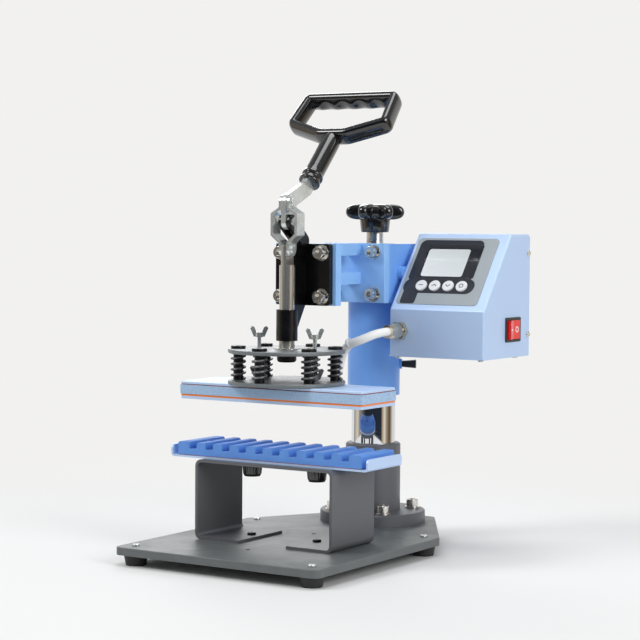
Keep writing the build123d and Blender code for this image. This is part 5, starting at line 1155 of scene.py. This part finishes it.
@dataclass
class ControlBox(SubAssembly):
    """Box with its cover and screws, panel, marked buttons, marked switch and glands."""

    button_first: float = 28.4
    button_pitch: float = 16.1
    button_up: float = 30.7
    button_proud: float = 2.52
    mark_reach: float = 2.6
    mark_radius: float = 2.2
    mark_half_width: float = 0.42
    mark_levels: tuple[float, float] = (-0.2, 0.04)
    rocker_pivot: Point = (152.0, 195.0, 233.0)
    rocker_tilt: float = 7.0
    rocker_middle: float = 7.4
    rocker_slope: float = 0.148
    rocker_bar: tuple[float, float] = (-8.0, 6.0)
    rocker_ring: tuple[float, float, float] = (7.0, 2.8, 2.6)
    rocker_half_width: float = 0.7
    rocker_levels: tuple[float, float] = (-0.3, 0.1)
    side_screws: tuple[Point, ...] = ((158.0, 230.5, 226.5), (158.0, 230.5, 313.5))
    screw_profile: tuple[tuple[float, float], ...] = (
        (3.1, -0.4), (3.1, 0.9), (2.3, 2.0), (1.5, 2.2), (1.4, 1.0), (0.2, 0.9),
    )

    def strip(self, name: str, middle: np.ndarray, half_width: float, levels: tuple[float, float],
              place: Callable[..., np.ndarray]) -> bpy.types.Object:
        """A thin closed strip on a face.

        The middle line moves to either side by the half width, once sunk and once proud,
        which gives the strip's four edges.

        Args:
            name: The object's name.
            middle: Rows of (along, up), in millimetres.
            half_width: Half of the strip's width.
            levels: Its sunk and its proud height over the face.
            place: Gives the points of the arrays along and up at one height, in metres.

        Returns:
            The strip.
        """
        side = left_of(np.gradient(middle, axis=0)) * half_width
        sunk, proud = levels
        edges = [
            place(*(middle + shift * side).T, height)
            for shift, height in ((-1, sunk), (-1, proud), (1, proud), (1, sunk))
        ]
        return Surface(name, np.stack(edges, 1), caps=True).build()

    def button_mark(self, kind: ButtonMark) -> bpy.types.Object:
        """Plain mark on a button: a bar, a ring, or a chevron that points up or down.

        The height of a bar or chevron is its bend times half the reach less the absolute value
        of its place along; a ring is a circle.

        Args:
            kind: Which mark.

        Returns:
            The mark as a thin strip on the button's face.
        """
        centre = self.button_first + (kind.value - 1) * self.button_pitch
        step = np.linspace(-1, 1, 25)
        if kind is ButtonMark.RING:
            middle = self.mark_radius * np.stack([np.cos(step * np.pi), np.sin(step * np.pi)], 1)
        else:
            bend = {ButtonMark.BAR: 0.0, ButtonMark.UP: 1.0, ButtonMark.DOWN: -1.0}[kind]
            along = step * self.mark_reach
            middle = np.stack([along, bend * (self.mark_reach / 2 - np.abs(along))], 1)

        def place(along: np.ndarray, up: np.ndarray, height: float) -> np.ndarray:
            """Points on the button's face."""
            return Panel.point((centre + along) * MM, (self.button_up + up) * MM,
                               (self.button_proud + height) * MM)

        return self.strip(f"button_mark_{kind.value}", middle, self.mark_half_width, self.mark_levels, place)

    def rocker_point(self, along: np.ndarray, up: np.ndarray, height: float) -> np.ndarray:
        """Points on the rocker.

        They lie on its shallow V, whose rise grows with the distance from its middle, turned
        about the pivot by the tilt.

        Args:
            along: Distances back from the rocker's middle, in millimetres.
            up: Distances up from it.
            height: Height over the face.

        Returns:
            The points, in metres.
        """
        tilt = math.radians(self.rocker_tilt)
        rise = self.rocker_middle + self.rocker_slope * np.abs(along) + height
        return np.stack([
            self.rocker_pivot[0] + rise * math.cos(tilt) - along * math.sin(tilt),
            self.rocker_pivot[1] + rise * math.sin(tilt) + along * math.cos(tilt),
            self.rocker_pivot[2] + up,
        ], 1) * MM

    def rocker_mark(self, kind: RockerMark) -> bpy.types.Object:
        """On or off mark on the rocker: a level bar on one half or an ellipse on the other.

        Args:
            kind: Which mark.

        Returns:
            The mark as a thin strip on the rocker's face.
        """
        step = np.linspace(0, 1, 33)
        if kind is RockerMark.ON:
            centre, length = self.rocker_bar
            middle = np.stack([centre + length * (step - 0.5), np.zeros_like(step)], 1)
        else:
            centre, half_along, half_up = self.rocker_ring
            turn = FULL_TURN * step
            middle = np.stack([centre + half_along * np.cos(turn), half_up * np.sin(turn)], 1)
        return self.strip(kind.value, middle, self.rocker_half_width, self.rocker_levels, self.rocker_point)

    def build(self) -> None:
        """Makes the two side screws and the marks on the four buttons and the rocker."""
        profile = rounded_profile(self.screw_profile, 0.2, 3)
        for number, origin in enumerate(self.side_screws, 1):
            screw = revolved(f"side_screw_{number}", origin, (1, 0, 0), profile, 32)
            finish_piece(screw, STAINLESS, "arm")
        for kind in ButtonMark:
            finish_piece(self.button_mark(kind), MARK_INK, f"button_{kind.value}")
        for kind in RockerMark:
            finish_piece(self.rocker_mark(kind), MARK_WHITE, "rocker")

    def dress(self) -> None:
        """Finishes of the box."""
        dress(LIGHT_BLUE, "control_box", "box_cover")
        dress(STAINLESS, "box_screws")
        dress(PANEL_FILM, "panel_overlay")
        dress(DISPLAY, "display_window")
        dress(BUTTON_WHITE, *(f"button_{kind.value}" for kind in ButtonMark))
        dress(BOARD_GREEN, "control_board")
        dress(MATTE_BLACK, "switch_housing")
        dress(ROCKER_RED, "rocker")
        dress(NICKEL, "heater_gland", "mains_gland", "gland_nuts")


@dataclass
class HeaterCable(SubAssembly):
    """White sleeved cable from the gland to the back of the heater block, with its fittings."""

    diameter: float = 9.0
    route: tuple[Point, ...] = (
        (58.0, 103.0, 231.0), (58.0, 85.0, 231.0), (46.0, 71.0, 223.5), (28.0, 72.0, 217.5),
        (19.0, 75.0, 204.0), (14.0, 76.0, 184.0), (14.0, 57.0, 171.75), (14.0, 33.8, 171.75),
    )
    length: float = 134.9
    ferrule_profile: tuple[tuple[float, float], ...] = (
        (4.6, 0.2), (6.6, 0.4), (6.4, 4.0), (5.2, 9.5), (4.6, 9.7),
    )
    tie_centre: Point = (30.5, 72.2, 219.2)
    tie_along: Point = (18.0, -1.0, 6.0)
    tie_gap: float = 0.75
    tie_half: tuple[float, float] = (0.65, 1.5)

    def curve(self) -> bpy.types.Object:
        """The cable as one NURBS spline on its route.

        Returns:
            The curve, with the cable's thickness.
        """
        line = bpy.data.curves.new("cable_sleeve", "CURVE")
        line.dimensions = "3D"
        line.bevel_depth = self.diameter / 2 * MM
        line.bevel_resolution = 6
        line.resolution_u = 16
        line.use_fill_caps = True
        spline = line.splines.new("NURBS")
        spline.points.add(len(self.route) - 1)
        places = np.concatenate([np.array(self.route) * MM, np.ones((len(self.route), 1))], 1)
        spline.points.foreach_set("co", places.ravel())
        spline.order_u = 3
        spline.use_endpoint_u = True
        made = bpy.data.objects.new("cable_sleeve", line)
        bpy.context.scene.collection.objects.link(made)
        return made

    def ferrule(self) -> bpy.types.Object:
        """Tapered ferrule where the cable enters the heater block."""
        return revolved("cable_ferrule", self.route[-1], (0, 1, 0), rounded_profile(self.ferrule_profile), 32)

    def tie(self) -> bpy.types.Object:
        """Clear tie round the cable.

        An ellipse, thin across the cable and wide along it, is carried round a circle.

        Returns:
            The tie as one closed ring.
        """
        along = np.array(self.tie_along) / np.linalg.norm(self.tie_along)
        first, second = square_to(along)
        turn, section = round_angles(48), round_angles(12)
        thin, wide = self.tie_half
        radius = self.diameter / 2 + self.tie_gap + thin * np.cos(section)
        offset = wide * np.sin(section)
        ring = first * np.cos(turn)[:, None] + second * np.sin(turn)[:, None]
        points = (np.array(self.tie_centre) + ring[:, None, :] * radius[None, :, None]
                  + along * offset[None, :, None])
        return Surface("cable_tie", points * MM, wrap_rows=True).build()

    def build(self) -> None:
        """Makes the cable and its fittings."""
        cable = self.curve()
        finish_piece(cable, CABLE_WHITE, "arm")
        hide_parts("heater_cable")
        tie = self.tie()
        finish_piece(tie, TIE_CLEAR, "arm")
        tuple(np.array(self.route[0]) * MM)
        finish_piece(self.ferrule(), NICKEL, "platen")


# ---------------------------------------------------------------- studio


@dataclass
class Lamp:
    """A soft box: where it stands, how wide and how strong it is."""

    name: str
    place: Point
    size: float
    power: float

    def build(self, target: Vector) -> None:
        """Makes the lamp, turned towards the target.

        Args:
            target: The point that it lights.
        """
        light = bpy.data.lights.new(self.name, "AREA")
        light.shape = "DISK"
        light.size = self.size
        light.energy = self.power
        made = bpy.data.objects.new(self.name, light)
        made.location = self.place
        made.rotation_euler = (target - Vector(self.place)).to_track_quat("-Z", "Y").to_euler()
        bpy.context.scene.collection.objects.link(made)


@dataclass
class Studio:
    """Pale round table, plain backdrop, soft lamps, and the camera."""

    eye: Point = (1.0968, -1.6647, 0.3432)
    heading: float = 32.41
    dip: float = 2.8
    roll: float = 0.41
    focal_pixels: float = 1956.97
    image_width: int = 640
    sensor: float = 36.0
    table_radius: float = 0.95
    table_fade: tuple[float, float] = (0.45, 0.98)
    paper: Colour = (0.72, 0.72, 0.715)
    paper_roughness: float = 0.8
    paper_gloss: float = 0.2
    backdrop: Colour = (0.885, 0.88, 0.868)
    sky: Colour = (0.97, 0.98, 1.0)
    sky_level: float = 0.5
    ceiling: Colour = (0.34, 0.35, 0.36)
    ceiling_rise: tuple[float, float] = (0.2, 0.6)
    room: tuple[tuple[float, Colour], ...] = (
        (-180.0, (0.88, 0.88, 0.87)), (-124.0, (0.86, 0.87, 0.88)), (-119.0, (0.12, 0.1, 0.09)),
        (-114.0, (0.55, 0.44, 0.31)), (-92.0, (0.78, 0.7, 0.58)), (-80.0, (0.36, 0.31, 0.25)),
        (-56.0, (0.1, 0.1, 0.1)), (-44.0, (0.02, 0.024, 0.03)), (40.0, (0.022, 0.03, 0.045)),
        (47.0, (0.45, 0.33, 0.21)), (60.0, (0.86, 0.8, 0.68)), (72.0, (0.42, 0.31, 0.2)),
        (86.0, (0.2, 0.14, 0.09)), (96.0, (0.09, 0.07, 0.05)), (106.0, (0.5, 0.4, 0.28)),
        (116.0, (0.8, 0.79, 0.77)), (180.0, (0.88, 0.88, 0.87)),
    )
    target: Point = (0.0, 0.05, 0.22)
    lamps: list[Lamp] = field(default_factory=lambda: [
        Lamp("key_lamp", (-1.3, -1.5, 1.9), 1.0, 27.0),
        Lamp("right_lamp", (2.1, -0.5, 1.1), 1.2, 23.0),
        Lamp("top_lamp", (0.2, 0.3, 2.3), 1.4, 18.0),
        Lamp("rim_lamp", (-1.2, 1.5, 1.2), 0.9, 10.0),
    ])

    def camera(self) -> None:
        """Places the camera by its heading, its dip below the horizon and its roll."""
        heading, dip, roll = (math.radians(angle) for angle in (self.heading, self.dip, self.roll))
        forward = Vector((-math.sin(heading) * math.cos(dip), math.cos(heading) * math.cos(dip), -math.sin(dip)))
        level = Vector((math.cos(heading), math.sin(heading), 0))
        above = level.cross(forward)
        right = level * math.cos(roll) + above * math.sin(roll)
        up = above * math.cos(roll) - level * math.sin(roll)
        data = bpy.data.cameras.new("photo_camera")
        data.sensor_fit = "HORIZONTAL"
        data.sensor_width = self.sensor
        data.lens = self.focal_pixels * self.sensor / self.image_width
        data.clip_end = 50.0
        made = bpy.data.objects.new("photo_camera", data)
        rows = zip(right, up, -forward, self.eye)
        made.matrix_world = Matrix((*rows, (0, 0, 0, 1)))
        bpy.context.scene.collection.objects.link(made)
        bpy.context.scene.camera = made

    def floor(self) -> None:
        """Round table top that keeps the object's shadow and fades into the backdrop.

        Each point is at radius * (cos t, sin t), from the centre to the rim.
        """
        radius = np.linspace(0.001, self.table_radius, 12)[:, None, None]
        turn = round_angles(96)
        ring = np.stack([np.cos(turn), np.sin(turn), np.zeros_like(turn)], 1)
        made = Surface("studio_floor", radius * ring[None]).build()
        paper = bpy.data.materials.new("studio_paper")
        paper.use_nodes = True
        wiring = Wiring(paper.node_tree)
        shader = paper.node_tree.nodes["Principled BSDF"]
        shader.inputs["Base Color"].default_value = (*self.paper, 1.0)
        shader.inputs["Roughness"].default_value = self.paper_roughness
        shader.inputs["Specular IOR Level"].default_value = self.paper_gloss
        seen = wiring.add("ShaderNodeEmission")
        seen.inputs["Color"].default_value = (*self.backdrop, 1.0)
        distance = wiring.add("ShaderNodeVectorMath", operation="LENGTH")
        wiring.join(wiring.place(), distance.inputs[0])
        limits = (self.table_radius * share for share in self.table_fade)
        far = wiring.spread(distance.outputs["Value"], 0.0, 1.0, *limits)
        direct = wiring.add("ShaderNodeLightPath").outputs["Is Camera Ray"]
        faded = wiring.blend(wiring.math("MULTIPLY", far, direct), shader.outputs[0], seen.outputs[0])
        wiring.join(faded, paper.node_tree.nodes["Material Output"].inputs["Surface"])
        made.data.materials.append(paper)

    def room_colour(self, wiring: Wiring) -> Socket:
        """What mirrors see: upright bands round the object, and a grey ceiling.

        The angle of a direction is the arc tangent of its share to the right over its share to
        the front, as the photographer stood. Above the horizon the bands give way to the ceiling.

        Args:
            wiring: The sky's wiring.

        Returns:
            The colour in each direction.
        """
        heading = math.radians(self.heading)
        front = Vector((math.sin(heading), -math.cos(heading), 0.0))
        right = Vector((-front.y, front.x, 0.0))
        direction = wiring.add("ShaderNodeTexCoord").outputs["Generated"]
        angle = wiring.math("ARCTAN2", wiring.dot(direction, right), wiring.dot(direction, front))
        bands = wiring.add("ShaderNodeValToRGB")
        wiring.join(wiring.spread(angle, 0.0, 1.0, -math.pi, math.pi), bands.inputs["Fac"])
        stops = bands.color_ramp.elements
        while len(stops) > 1:
            stops.remove(stops[-1])
        stops[0].position = 0.0
        for degrees, colour in self.room:
            place = (degrees + 180.0) / 360.0
            stop = stops.new(place) if place > 0.0 else stops[0]
            stop.color = (*colour, 1.0)
        height = wiring.spread(wiring.axes(direction)[2], 0.0, 1.0, *self.ceiling_rise)
        return wiring.mix(height, bands.outputs["Color"], self.ceiling)

    def background(self, wiring: Wiring, colour: Value, strength: float = 1.0) -> Socket:
        """One background of the sky.

        Args:
            wiring: The sky's wiring.
            colour: Its colour.
            strength: Its strength.

        Returns:
            The shader.
        """
        node = wiring.add("ShaderNodeBackground")
        wiring.feed(colour, node.inputs["Color"])
        wiring.feed(strength, node.inputs["Strength"])
        return node.outputs[0]

    def world(self) -> None:
        """Sky: even for the light, paper white for what is seen, and a room for what mirrors show."""
        sky = bpy.data.worlds.new("studio_sky")
        bpy.context.scene.world = sky
        sky.use_nodes = True
        sky.node_tree.nodes.clear()
        wiring = Wiring(sky.node_tree)
        rays = wiring.add("ShaderNodeLightPath")
        even = self.background(wiring, self.sky, self.sky_level)
        mirrored = self.background(wiring, self.room_colour(wiring))
        unseen = wiring.blend(rays.outputs["Is Glossy Ray"], even, mirrored)
        direct = wiring.math("MAXIMUM", rays.outputs["Is Camera Ray"], rays.outputs["Is Transmission Ray"])
        output = wiring.add("ShaderNodeOutputWorld")
        whole = wiring.blend(direct, unseen, self.background(wiring, self.backdrop))
        wiring.join(whole, output.inputs["Surface"])

    def build(self) -> None:
        """Makes the whole studio."""
        self.camera()
        self.floor()
        self.world()
        for lamp in self.lamps:
            lamp.build(Vector(self.target))
        bpy.context.scene.view_settings.view_transform = "Standard"


def main() -> None:
    """Builds the studio, the cable and then each other sub-assembly, and reports each."""
    logging.basicConfig(level=logging.INFO)
    Studio().build()
    assemblies = (HeaterCable(), BaseStand(), LiftScrew(), SwingArm(), ToggleClamp(), SpringPack(),
                  HeatedPlaten(), ControlBox())
    for assembly in assemblies:
        assembly.build()
        assembly.dress()
        LOG.info("%s is done", type(assembly).__name__)


if __name__ == "__main__":
    main()
